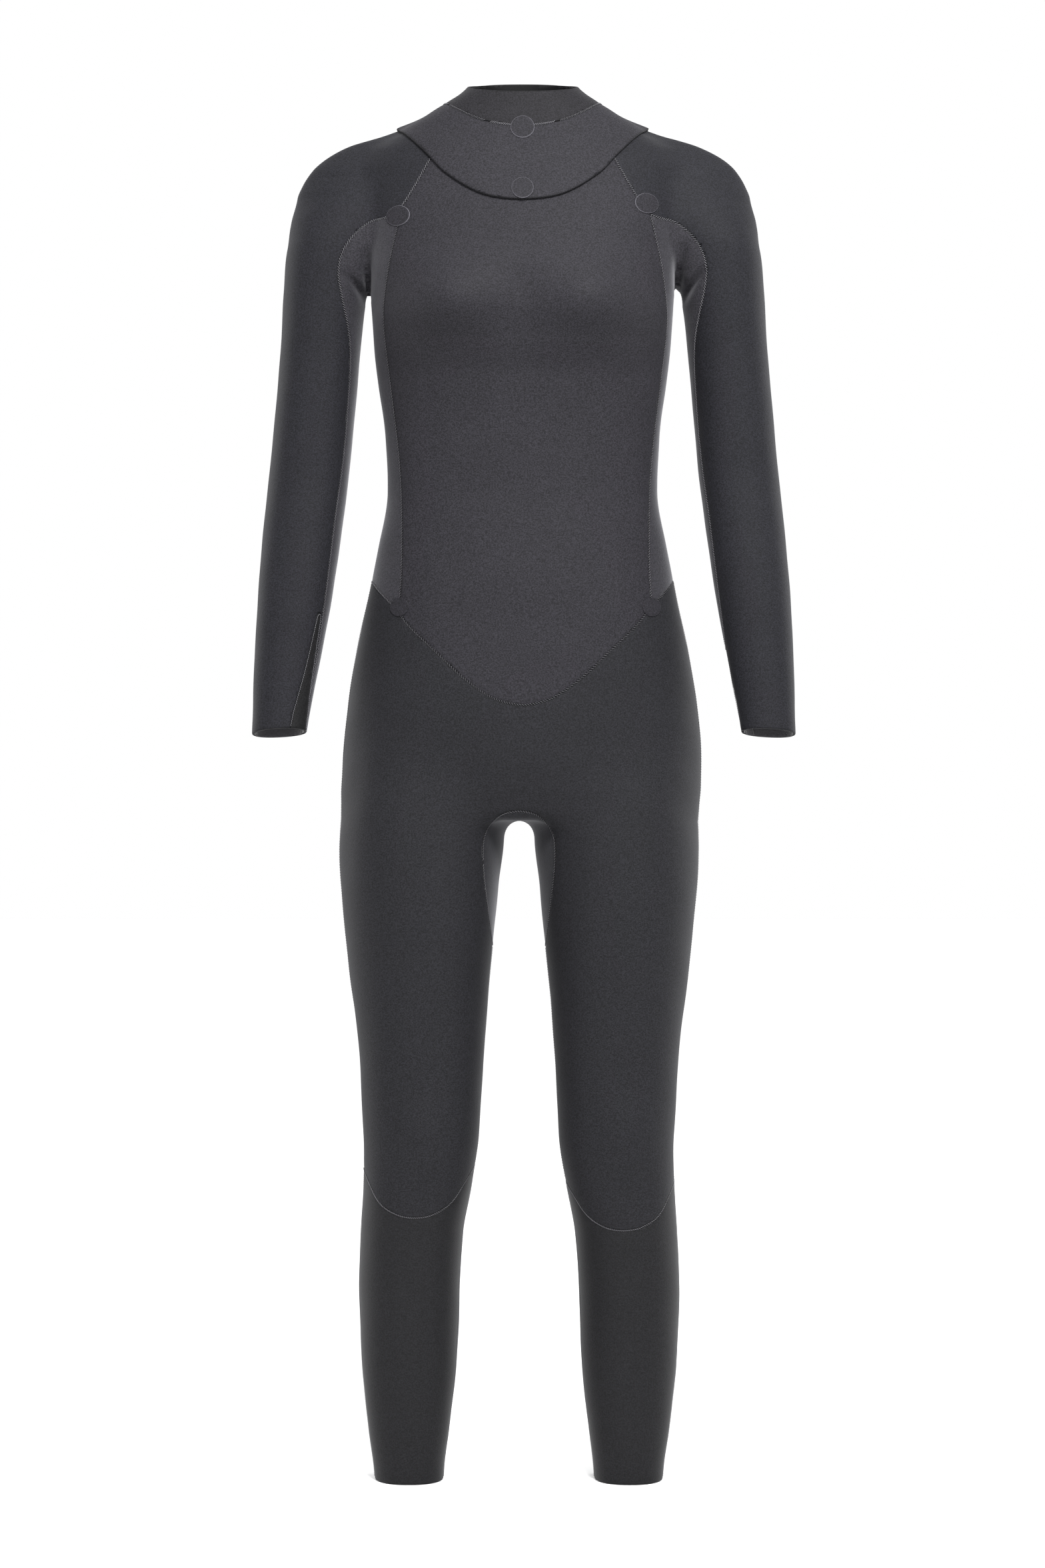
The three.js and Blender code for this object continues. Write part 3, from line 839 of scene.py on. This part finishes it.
def jersey(name, colour, sheen=0.03, roughness=0.72, gloss=0.14):
    """Knitted nylon on foam: matt, mottled where light and dark filaments mix, with a soft sheen at its edge."""
    material, tree = fresh_material(name)
    place = add_node(tree, "ShaderNodeTexCoord").outputs["Object"]
    # light and dark filaments mix, drawn at 1.4 mm, coarser than the real ones, so that it shows;
    # the dye takes unevenly over about 60 mm
    fleck = add_node(tree, "ShaderNodeTexNoise", {"Vector": place, "Scale": 1 / 0.0014, "Detail": 2.0,
        "Roughness": 0.6})
    cloud = add_node(tree, "ShaderNodeTexNoise", {"Vector": place, "Scale": 1 / 0.06, "Detail": 2.0})
    mottle = add_node(tree, "ShaderNodeMapRange", {"Value": fleck.outputs["Fac"], "From Min": 0.36,
        "From Max": 0.64, "To Min": 0.0, "To Max": 1.0})
    knit = add_node(tree, "ShaderNodeMix", {0: mottle.outputs["Result"], 6: shade(colour, 0.52),
        7: shade(colour, 1.46)}, data_type="RGBA")
    dye = add_node(tree, "ShaderNodeMapRange", {"Value": cloud.outputs["Fac"], "From Min": 0.3, "From Max": 0.7,
        "To Min": 0.95, "To Max": 1.05})
    # the cloth pinched into a seam lies in shade
    margin = add_node(tree, "ShaderNodeAttribute", attribute_name="edge_mm")
    pinch = add_node(tree, "ShaderNodeMapRange", {"Value": margin.outputs["Fac"], "From Min": 0.0, "From Max": 2.2,
        "To Min": 0.6, "To Max": 1.0})
    value = add_node(tree, "ShaderNodeMath", {0: dye.outputs["Result"], 1: pinch.outputs["Result"]},
        operation="MULTIPLY")
    tint = add_node(tree, "ShaderNodeHueSaturation", {"Color": knit.outputs[2], "Value": value.outputs["Value"]})
    # loops of the knit, 0.5 mm apart on the real cloth, drawn at 0.9 mm so that they show
    loops = add_node(tree, "ShaderNodeTexVoronoi", {"Vector": place, "Scale": 1 / 0.0009}, feature="F1")
    pile = add_node(tree, "ShaderNodeMath", {0: loops.outputs["Distance"], 1: fleck.outputs["Fac"]},
        operation="SUBTRACT")
    bump = add_node(tree, "ShaderNodeBump", {"Height": pile.outputs["Value"], "Strength": 0.35, "Distance": 0.0003},
        invert=True)
    shader = add_node(tree, "ShaderNodeBsdfPrincipled", {"Base Color": tint.outputs["Color"],
        "Roughness": roughness, "IOR": 1.5, "Specular IOR Level": gloss, "Sheen Weight": sheen,
        "Sheen Roughness": 0.45, "Sheen Tint": (0.85, 0.85, 0.9, 1.0), "Normal": bump.outputs["Normal"]})
    add_node(tree, "ShaderNodeOutputMaterial", {"Surface": shader.outputs["BSDF"]})
    return material


def brushed_lining_darkened_for_shade(name, colour):
    """Brushed polyester fleece: soft and cloudy, with its pile lying in tufts of about 3 mm, and painted shade: its
    colour is made dark for the shade inside the cuffs and ankle hems, the fleece itself being paler.
    """
    material, tree = fresh_material(name)
    place = add_node(tree, "ShaderNodeTexCoord").outputs["Object"]
    tufts = add_node(tree, "ShaderNodeTexNoise", {"Vector": place, "Scale": 1 / 0.003, "Detail": 3.0})
    mix = add_node(tree, "ShaderNodeMix", {0: tufts.outputs["Fac"], 6: shade(colour, 0.6), 7: shade(colour, 1.4)},
        data_type="RGBA")
    bump = add_node(tree, "ShaderNodeBump", {"Height": tufts.outputs["Fac"], "Strength": 0.6, "Distance": 0.001})
    shader = add_node(tree, "ShaderNodeBsdfPrincipled", {"Base Color": mix.outputs[2], "Roughness": 0.95,
        "Sheen Weight": 0.4, "Sheen Roughness": 0.5, "Normal": bump.outputs["Normal"]})
    add_node(tree, "ShaderNodeOutputMaterial", {"Surface": shader.outputs["BSDF"]})
    return material


def rubber(name, colour, roughness, grain):
    """Neoprene rubber: black or grey, with a fine closed-cell grain given in metres."""
    material, tree = fresh_material(name)
    place = add_node(tree, "ShaderNodeTexCoord").outputs["Object"]
    cells = add_node(tree, "ShaderNodeTexVoronoi", {"Vector": place, "Scale": 1 / grain}, feature="F1")
    mix = add_node(tree, "ShaderNodeMix", {0: cells.outputs["Distance"], 6: shade(colour, 0.85),
        7: shade(colour, 1.2)}, data_type="RGBA")
    bump = add_node(tree, "ShaderNodeBump", {"Height": cells.outputs["Distance"], "Strength": 0.3,
        "Distance": 0.0002})
    shader = add_node(tree, "ShaderNodeBsdfPrincipled", {"Base Color": mix.outputs[2], "Roughness": roughness,
        "IOR": 1.52, "Specular IOR Level": 0.15, "Normal": bump.outputs["Normal"]})
    add_node(tree, "ShaderNodeOutputMaterial", {"Surface": shader.outputs["BSDF"]})
    return material


def thread(name, colour):
    """Twisted polyester thread: satin, with its plies turning about every 1 mm."""
    material, tree = fresh_material(name)
    place = add_node(tree, "ShaderNodeTexCoord").outputs["Object"]
    plies = add_node(tree, "ShaderNodeTexWave", {"Vector": place, "Scale": 1 / 0.001, "Distortion": 2.0},
        bands_direction="DIAGONAL")
    mix = add_node(tree, "ShaderNodeMix", {0: plies.outputs["Fac"], 6: shade(colour, 0.75), 7: shade(colour, 1.15)},
        data_type="RGBA")
    shader = add_node(tree, "ShaderNodeBsdfPrincipled", {"Base Color": mix.outputs[2], "Roughness": 0.6,
        "Sheen Weight": 0.2})
    add_node(tree, "ShaderNodeOutputMaterial", {"Surface": shader.outputs["BSDF"]})
    return material


@functools.cache
def finishes():
    """Every material of the suit, by the maker's name for it."""
    colours = bpy.context.scene.wetsuit_colours
    return {
        "torso": jersey("torso_nylon_jersey", colours.torso),
        # painted shade: a darker copy of the torso jersey for the shaded collar
        "collar": jersey("collar_jersey_darkened_for_shade", colours.collar),
        "side": jersey("underarm_nylon_jersey", colours.side, sheen=0.16),
        "gusset": jersey("gusset_nylon_jersey", colours.lower, sheen=0.16),
        "sleeve": jersey("sleeve_nylon_jersey", colours.sleeve),
        "lower": jersey("hip_nylon_jersey", colours.lower),
        "shin": jersey("shin_hard_jersey", colours.shin, sheen=0.02, roughness=0.6),
        "wedge": jersey("wedge_stretch_jersey", colours.wedge, roughness=0.7),
        # painted shade: the lining is darkened for the shade inside the suit's openings
        "lining": brushed_lining_darkened_for_shade("brushed_lining_darkened_for_shade", colours.lining),
        "seal": rubber("smooth_skin_neoprene", colours.seal, 0.7, 0.0012),
        "foam": rubber("cut_neoprene_foam", colours.foam, 0.9, 0.0005),
        "patch": jersey("heat_pressed_patch", colours.patch, sheen=0.04, roughness=0.7),
        "patch_rim": rubber("patch_glue_line", colours.patch_rim, 0.7, 0.0006),
        "pale_thread": thread("pale_polyester_thread", colours.pale_thread),
        "dark_thread": thread("dark_polyester_thread", colours.dark_thread),
    }


# ---------- panels in the suit ----------


def finish_panel(node, cloth, lift, thickness, look, body, inside="lining"):
    looks = finishes()
    made = panel(f"{node}_neoprene", cloth, lift, thickness, [looks[look], looks[inside], looks["foam"]])
    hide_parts(node)
    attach(made, body)


def suit_panels(names, look):
    thickness = bpy.context.scene.wetsuit_sizes.neoprene / MM
    for name in names:
        finish_panel(name, suit_cloth()[name], 0.0, thickness, look, "suit")


class WETSUIT_OT_torso(bpy.types.Operator):
    """Makes the front, back and underarm panels"""

    bl_idname = "wetsuit.torso"
    bl_label = "Torso panels"

    def execute(self, context):
        suit_panels(["front_panel", "back_panel"], "torso")
        suit_panels(pair("side_panel"), "side")
        return {"FINISHED"}


class WETSUIT_OT_sleeves(bpy.types.Operator):
    """Makes the two raglan sleeves"""

    bl_idname = "wetsuit.sleeves"
    bl_label = "Sleeves"

    def execute(self, context):
        suit_panels(pair("sleeve"), "sleeve")
        return {"FINISHED"}


class WETSUIT_OT_wedges(bpy.types.Operator):
    """Makes the stretch wedges over the wrists"""

    bl_idname = "wetsuit.wedges"
    bl_label = "Wrist wedges"

    def execute(self, context):
        suit_panels(pair("wrist_wedge"), "wedge")
        return {"FINISHED"}


class WETSUIT_OT_hips(bpy.types.Operator):
    """Makes the hips, seat and crotch gusset"""

    bl_idname = "wetsuit.hips"
    bl_label = "Hips, seat and gusset"

    def execute(self, context):
        suit_panels(["hips_front", "seat_panel"], "lower")
        suit_panels(["crotch_gusset"], "gusset")
        return {"FINISHED"}


class WETSUIT_OT_shins(bpy.types.Operator):
    """Makes the shin and calf panels"""

    bl_idname = "wetsuit.shins"
    bl_label = "Shins and calves"

    def execute(self, context):
        suit_panels([*pair("shin_panel"), *pair("calf_panel")], "shin")
        return {"FINISHED"}


class WETSUIT_OT_yoke(bpy.types.Operator):
    """Makes the collar, the chest flap, the back strip and the smooth skin inside the collar"""

    bl_idname = "wetsuit.yoke"
    bl_label = "Neck yoke"

    def execute(self, context):
        thickness = context.scene.wetsuit_sizes.neoprene / MM
        cloth = yoke_cloth()
        for name, look in {"collar": "collar", "yoke_flap": "torso", "yoke_back": "torso"}.items():
            finish_panel(name, cloth[name], GAP + thickness, thickness, look, "neck_yoke", "seal")
        finish_panel("neck_seal", cloth["collar"], 0.0, SEAL, "seal", "neck_yoke", "seal")
        return {"FINISHED"}


# ---------- patches ----------


BEFORE_SUIT = -200.0  # clear of the chest
APPROACHES = 60  # steps enough to reach the skin from there


def front_of_skin(x, z, lift):
    """The place on the front of the skin, raised by `lift`, at each x and z, and the direction outwards there."""
    points = np.stack([x, np.full(len(x), BEFORE_SUIT), z], axis=1)
    for _ in range(APPROACHES):
        points[:, 1] += np.clip(skin_distance(points) - lift, -5, 15) * 0.8
    _, outward = settled(points, 1)
    return points, outward


def patch(name, x, z, half_width, half_height, lift, pale):
    """A round patch pressed onto the cloth, with its softened edge and the glue line round it."""
    around = 96
    shares = np.concatenate([np.linspace(0, 1, 12)[1:-1], [0.95, 0.985, 1.0]])
    rises = np.array([PATCH] * 10 + [PATCH, 0.75 * PATCH, 0.35 * PATCH])
    turn = np.linspace(0, 2 * math.pi, around, endpoint=False)
    px = [np.array([x])] + [x + half_width * s * np.cos(turn) for s in shares]
    pz = [np.array([z])] + [z + half_height * s * np.sin(turn) for s in shares]
    base, outward = front_of_skin(np.concatenate(px), np.concatenate(pz), lift)
    rise = np.concatenate([[PATCH], np.repeat(rises, around)])
    outer = base + outward * rise[:, None]
    inner = base + outward * 0.02
    count, rows = len(outer), len(shares)
    i, j = np.arange(around), np.roll(np.arange(around), -1)
    faces, slots = [np.stack([np.zeros(around, int), 1 + j, 1 + i], 1)], [0]
    for row in range(rows - 1):
        a, b = 1 + row * around + i, 1 + row * around + j
        faces += [np.stack([a, b, b + around], 1), np.stack([a, b + around, a + around], 1)]
        slots += [1 if shares[row] > 0.94 else 0] * 2
    top = np.vstack(faces)
    slots = np.concatenate([np.full(len(f), s) for f, s in zip(faces, slots)])
    last = 1 + (rows - 1) * around
    wall = [
        np.stack([last + i, last + j, count + last + j], 1),
        np.stack([last + i, count + last + j, count + last + i], 1),
    ]
    faces = np.vstack([top, top[:, ::-1] + count, *wall])
    slots = np.concatenate([slots, np.zeros(len(top), int), np.full(2 * around, 1)])
    mesh = new_mesh(name, np.vstack([outer, inner]), faces, slots)
    margin = mesh.attributes.new("edge_mm", "FLOAT", "POINT")
    margin.data.foreach_set("value", np.full(2 * count, OPEN_CLOTH, np.float32))
    looks = finishes()
    return new_object(name, mesh, [looks["patch"], looks["patch_rim" if pale else "patch"]])


class WETSUIT_OT_patches(bpy.types.Operator):
    """Makes the round patches over the seams' ends"""

    bl_idname = "wetsuit.patches"
    bl_label = "Patches"

    def execute(self, context):
        thickness = context.scene.wetsuit_sizes.neoprene / MM
        for name, (x, z, half_width, half_height, layer, pale) in PATCHES.items():
            lift = GAP / 3 + (GAP + thickness if layer == "yoke" else 0.0)
            made = patch(f"{name}_disc", x, z, half_width, half_height, lift, pale)
            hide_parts(name)
            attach(made, "neck_yoke" if layer == "yoke" else "suit")
        return {"FINISHED"}


# ---------- stitching ----------


SCRAP = 8  # points: a stretch of seam with no more than these isn't sewn
GUIDE = 3.0  # spacing of the points along a line of stitches


def seam_lines(cloth, seam):
    """The stretches of the cloth's border that lie on that seam, each as ordered points."""
    start, end = borders_of(cloth.faces, len(cloth.points))
    on = (cloth.seams[start] == seam) & (cloth.seams[end] == seam)
    after = dict(zip(start[on].tolist(), end[on].tolist()))
    firsts = [s for s in after if s not in set(after.values())]
    lines = []
    while after:
        at = firsts.pop() if firsts else next(iter(after))
        line = [at]
        while at in after:
            at = after.pop(at)
            line.append(at)
        lines.append(cloth.points[line])
    return [line for line in lines if len(line) > SCRAP]


def stretches(line, keep):
    """The runs of the line's points for which keep is true."""
    ends = np.flatnonzero(np.diff(np.concatenate([[False], keep(line), [False]]).astype(int)))
    return [line[a:b] for a, b in zip(ends[::2], ends[1::2]) if b - a > 2]


def evenly(line, spacing):
    """The line again with its points at an even spacing, and its small wobbles taken out."""
    for _ in range(4):
        line = np.vstack([line[:1], (line[:-2] + 2 * line[1:-1] + line[2:]) / 4, line[-1:]])
    along = np.concatenate([[0], np.cumsum(np.linalg.norm(np.diff(line, axis=0), axis=1))])
    at = np.linspace(0, along[-1], max(2, int(along[-1] / spacing)))
    return np.stack([np.interp(at, along, line[:, k]) for k in range(3)], axis=1)


def stitch_tree(material):
    """A tree that sews slanting stitches along the edges of a mesh, square to its "outward" attribute."""
    tree = bpy.data.node_groups.new("slanting_stitches", "GeometryNodeTree")
    sockets = {"Geometry": "NodeSocketGeometry", "Pitch": "NodeSocketFloat", "Length": "NodeSocketFloat"}
    sockets |= {"Thickness": "NodeSocketFloat", "Slant": "NodeSocketFloat", "Seed": "NodeSocketInt"}
    for name, kind in sockets.items():
        tree.interface.new_socket(name, in_out="INPUT", socket_type=kind)
    tree.interface.new_socket("Geometry", in_out="OUTPUT", socket_type="NodeSocketGeometry")
    given = add_node(tree, "NodeGroupInput").outputs
    line = add_node(tree, "GeometryNodeMeshToCurve", {"Mesh": given["Geometry"]})
    holes = add_node(tree, "GeometryNodeResampleCurve", {"Curve": line.outputs["Curve"], "Length": given["Pitch"]},
        mode="LENGTH")
    outward = add_node(tree, "GeometryNodeInputNamedAttribute", {"Name": "outward"}, data_type="FLOAT_VECTOR")
    upright = add_node(tree, "FunctionNodeAlignRotationToVector", {"Vector": outward.outputs["Attribute"]},
        axis="Z")
    tangent = add_node(tree, "GeometryNodeInputTangent")
    along = add_node(tree, "FunctionNodeAlignRotationToVector", {"Rotation": upright.outputs["Rotation"],
        "Vector": tangent.outputs["Tangent"]}, axis="X", pivot_axis="Z")
    wander = add_node(tree, "FunctionNodeRandomValue", {2: 0.85, 3: 1.15, "Seed": given["Seed"]}, data_type="FLOAT")
    slant = add_node(tree, "ShaderNodeMath", {0: given["Slant"], 1: wander.outputs[1]}, operation="MULTIPLY")
    turn = add_node(tree, "ShaderNodeCombineXYZ", {"Z": slant.outputs["Value"]})
    turned = add_node(tree, "FunctionNodeRotateRotation", {"Rotation": along.outputs["Rotation"],
        "Rotate By": turn.outputs["Vector"]}, rotation_space="LOCAL")
    half = add_node(tree, "ShaderNodeMath", {0: given["Length"], 1: 0.5}, operation="MULTIPLY")
    back = add_node(tree, "ShaderNodeMath", {0: given["Length"], 1: -0.5}, operation="MULTIPLY")
    first = add_node(tree, "ShaderNodeCombineXYZ", {"X": back.outputs["Value"]})
    top = add_node(tree, "ShaderNodeCombineXYZ", {"Z": given["Thickness"]})
    last = add_node(tree, "ShaderNodeCombineXYZ", {"X": half.outputs["Value"]})
    loop = add_node(tree, "GeometryNodeCurveQuadraticBezier", {"Resolution": 4, "Start": first.outputs["Vector"],
        "Middle": top.outputs["Vector"], "End": last.outputs["Vector"]})
    radius = add_node(tree, "ShaderNodeMath", {0: given["Thickness"], 1: 0.5}, operation="MULTIPLY")
    section = add_node(tree, "GeometryNodeCurvePrimitiveCircle", {"Resolution": 5, "Radius": radius.outputs["Value"]})
    strand = add_node(tree, "GeometryNodeCurveToMesh", {"Curve": loop.outputs["Curve"],
        "Profile Curve": section.outputs["Curve"], "Fill Caps": True})
    sewn = add_node(tree, "GeometryNodeInstanceOnPoints", {"Points": holes.outputs["Curve"],
        "Instance": strand.outputs["Mesh"], "Rotation": turned.outputs["Rotation"]})
    real = add_node(tree, "GeometryNodeRealizeInstances", {"Geometry": sewn.outputs["Instances"]})
    painted = add_node(tree, "GeometryNodeSetMaterial", {"Geometry": real.outputs["Geometry"], "Material": material})
    add_node(tree, "NodeGroupOutput", {"Geometry": painted.outputs["Geometry"]})
    return tree


def sew(name, lines, material, body, slant, seed, pitch=1.4, length=1.0):
    """Stitches along lines, each given with its height above the skin, as one mesh."""
    sizes = bpy.context.scene.wetsuit_sizes
    points, outwards, edges, first = [], [], [], 0
    for line, lift in lines:
        places, outward = settled(evenly(line, GUIDE)[1:-1])
        points.append(places + outward * lift)
        outwards.append(outward)
        edges += [(first + i, first + i + 1) for i in range(len(places) - 1)]
        first += len(places)
    path = bpy.data.meshes.new(name)
    path.from_pydata((np.vstack(points) * MM).tolist(), edges, [])
    up = path.attributes.new("outward", "FLOAT_VECTOR", "POINT")
    up.data.foreach_set("vector", np.vstack(outwards).astype(np.float32).ravel())
    guide = new_object(name + "_path", path, [])
    tree = stitch_tree(material)
    modifier = guide.modifiers.new("stitches", "NODES")
    modifier.node_group = tree
    wanted = {
        "Pitch": pitch * sizes.pitch,
        "Length": length * sizes.stitch,
        "Thickness": sizes.thread,
        "Slant": slant,
        "Seed": seed,
    }
    for item in tree.interface.items_tree:
        if item.in_out == "INPUT" and item.name in wanted:
            modifier[item.identifier] = wanted[item.name]
    evaluated = guide.evaluated_get(bpy.context.evaluated_depsgraph_get())
    mesh = bpy.data.meshes.new_from_object(evaluated)
    guide.modifiers.clear()
    bpy.data.objects.remove(guide)
    mesh.shade_smooth()
    made = new_object(name, mesh, [])
    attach(made, body)


class WETSUIT_OT_stitching(bpy.types.Operator):
    """Sews the seams of the suit and of the neck yoke"""

    bl_idname = "wetsuit.stitching"
    bl_label = "Stitching"

    SLANT = math.radians(38)
    THROAT = 34.0  # the collar's front stitches show this far to each side

    def execute(self, context):
        cloth, yoke, looks = suit_cloth(), yoke_cloth(), finishes()
        lift = GAP + context.scene.wetsuit_sizes.neoprene / MM

        def found(pieces, names, seam, height=0.0):
            return [(line, height) for name in names for line in seam_lines(pieces[name], seam)]

        pale = found(cloth, pair("sleeve"), "raglan")
        dark = found(cloth, ["front_panel", "back_panel"], "side")
        dark += found(cloth, ["crotch_gusset"], "gusset")
        dark += found(cloth, ["hips_front", "seat_panel"], "hip")
        knee = found(cloth, pair("shin_panel"), "knee")
        knee += found(cloth, pair("calf_panel"), "knee")
        wedge = found(cloth, pair("wrist_wedge"), "wedge")
        sew("suit_pale_stitches", pale, looks["pale_thread"], "suit", self.SLANT, 1)
        sew("suit_dark_stitches", dark, looks["dark_thread"], "suit", -self.SLANT, 2, length=0.8)
        sew("knee_stitches", knee, looks["pale_thread"], "suit", -self.SLANT, 6, pitch=1.1, length=0.6)
        sew("wedge_stitches", wedge, looks["pale_thread"], "suit", 0.2, 5, pitch=1.1, length=0.5)
        neck = found(yoke, ["collar"], "collar")

        def at_throat(line):
            return (np.abs(line[:, 0]) < self.THROAT) & (line[:, 1] < 0)

        front = [(part, lift) for line, _ in neck for part in stretches(line, at_throat)]
        rest = [(part, lift) for line, _ in neck for part in stretches(line, lambda p: ~at_throat(p))]
        sew("yoke_pale_stitches", front, looks["pale_thread"], "neck_yoke", self.SLANT, 3, pitch=1.0)
        slant, dark = self.SLANT, looks["dark_thread"]
        sew("yoke_dark_stitches", rest, dark, "neck_yoke", slant, 4, pitch=1.0, length=0.8)
        return {"FINISHED"}


# ---------- the studio ----------

CAMERA = {"distance": 3.4, "height": 0.706, "frame_height": 1.595}  # metres
SENSOR = 36.0  # millimetres, along the picture's long side
FLOOR = {"reach": 14.0, "below": 0.0005}  # metres: half its side, and its clearance under the suit


def area_light(name, place, target, size, power):
    lamp = bpy.data.lights.new(name, "AREA")
    lamp.shape, lamp.size, lamp.energy = "DISK", size, power
    made = bpy.data.objects.new(name, lamp)
    made.location = place
    made.rotation_euler = (Vector(target) - Vector(place)).to_track_quat("-Z", "Y").to_euler()
    bpy.context.scene.collection.objects.link(made)


class WETSUIT_OT_stage(bpy.types.Operator):
    """Sets up the floor, the soft lights and the camera"""

    bl_idname = "wetsuit.stage"
    bl_label = "Studio"

    def execute(self, context):
        scene = context.scene
        low, high = CAD_BOX
        middle = (low + high) / 2
        camera = bpy.data.cameras.new("camera")
        camera.sensor_width = SENSOR
        camera.lens = SENSOR * CAMERA["distance"] / CAMERA["frame_height"]
        made = bpy.data.objects.new("camera", camera)
        made.location = (0, -CAMERA["distance"], CAMERA["height"])
        made.rotation_euler = (math.pi / 2, 0, 0)
        scene.collection.objects.link(made)
        scene.camera = made

        reach, level = FLOOR["reach"], low.z - FLOOR["below"]
        mesh = bpy.data.meshes.new("floor")
        corners = [(-reach, -reach), (reach, -reach), (reach, reach), (-reach, reach)]
        mesh.from_pydata([(x, y, level) for x, y in corners], [], [(0, 1, 2, 3)])
        material, tree = fresh_material("matt_white_paint")
        place = add_node(tree, "ShaderNodeTexCoord").outputs["Object"]
        roller = add_node(tree, "ShaderNodeTexNoise", {"Vector": place, "Scale": 1 / 0.02, "Detail": 2.0})
        bump = add_node(tree, "ShaderNodeBump", {"Height": roller.outputs["Fac"], "Strength": 0.05,
            "Distance": 0.0005})
        shader = add_node(tree, "ShaderNodeBsdfPrincipled", {"Base Color": [*scene.wetsuit_colours.floor, 1.0],
            "Roughness": 0.9, "Normal": bump.outputs["Normal"]})
        add_node(tree, "ShaderNodeOutputMaterial", {"Surface": shader.outputs["BSDF"]})
        floor = new_object("floor", mesh, [material])

        world = bpy.data.worlds.new("studio")
        world.use_nodes = True
        sky = world.node_tree
        sky.nodes.clear()
        # white all round, and brighter overhead as under a studio's ceiling softbox
        direction = add_node(sky, "ShaderNodeTexCoord").outputs["Generated"]
        height = add_node(sky, "ShaderNodeSeparateXYZ", {"Vector": direction}).outputs["Z"]
        glow = add_node(sky, "ShaderNodeMapRange", {"Value": height, "From Min": 0.35, "From Max": 0.9,
            "To Min": 1.0, "To Max": 1.25})
        lit = add_node(sky, "ShaderNodeBackground", {"Color": (1.0, 1.0, 1.0, 1.0),
            "Strength": glow.outputs["Result"]})
        add_node(sky, "ShaderNodeOutputWorld", {"Surface": lit.outputs["Background"]})
        scene.world = world
        chest = (0, 0, 1.0)
        area_light("key", (0.6, -2.1, 3.0), chest, 1.1, 175)
        area_light("low_front", (-0.3, -3.6, 0.5), (0, 0, 0.4), 1.2, 12)
        area_light("rim_right", (-2.2, 1.2, 1.2), (0, 0, middle.z), 1.4, 30)
        area_light("rim_left", (2.2, 1.2, 1.2), (0, 0, middle.z), 1.4, 30)
        scene.view_settings.view_transform = "Standard"
        return {"FINISHED"}


class WETSUIT_PT_sidebar(bpy.types.Panel):
    """Lists the suit's pieces and its sizes"""

    bl_idname = "WETSUIT_PT_sidebar"
    bl_label = "Wetsuit"
    bl_space_type = "VIEW_3D"
    bl_region_type = "UI"
    bl_category = "Wetsuit"

    def draw(self, context):
        for group in (context.scene.wetsuit_sizes, context.scene.wetsuit_colours):
            box = self.layout.box()
            for name in group.__annotations__:
                box.prop(group, name)
        for operator in OPERATORS:
            self.layout.operator(operator.bl_idname)


OPERATORS = [
    WETSUIT_OT_torso,
    WETSUIT_OT_sleeves,
    WETSUIT_OT_wedges,
    WETSUIT_OT_hips,
    WETSUIT_OT_shins,
    WETSUIT_OT_yoke,
    WETSUIT_OT_patches,
    WETSUIT_OT_stitching,
    WETSUIT_OT_stage,
]
CLASSES = [WetsuitSizes, WetsuitColours, *OPERATORS, WETSUIT_PT_sidebar]


def register():
    for each in CLASSES:
        bpy.utils.register_class(each)
    bpy.types.Scene.wetsuit_sizes = bpy.props.PointerProperty(type=WetsuitSizes)
    bpy.types.Scene.wetsuit_colours = bpy.props.PointerProperty(type=WetsuitColours)


def unregister():
    del bpy.types.Scene.wetsuit_colours
    del bpy.types.Scene.wetsuit_sizes
    for each in reversed(CLASSES):
        bpy.utils.unregister_class(each)


def main():
    register()
    bpy.ops.wetsuit.torso()
    bpy.ops.wetsuit.sleeves()
    bpy.ops.wetsuit.wedges()
    bpy.ops.wetsuit.hips()
    bpy.ops.wetsuit.shins()
    bpy.ops.wetsuit.yoke()
    bpy.ops.wetsuit.patches()
    bpy.ops.wetsuit.stitching()
    bpy.ops.wetsuit.stage()


if __name__ == "__main__":
    main()
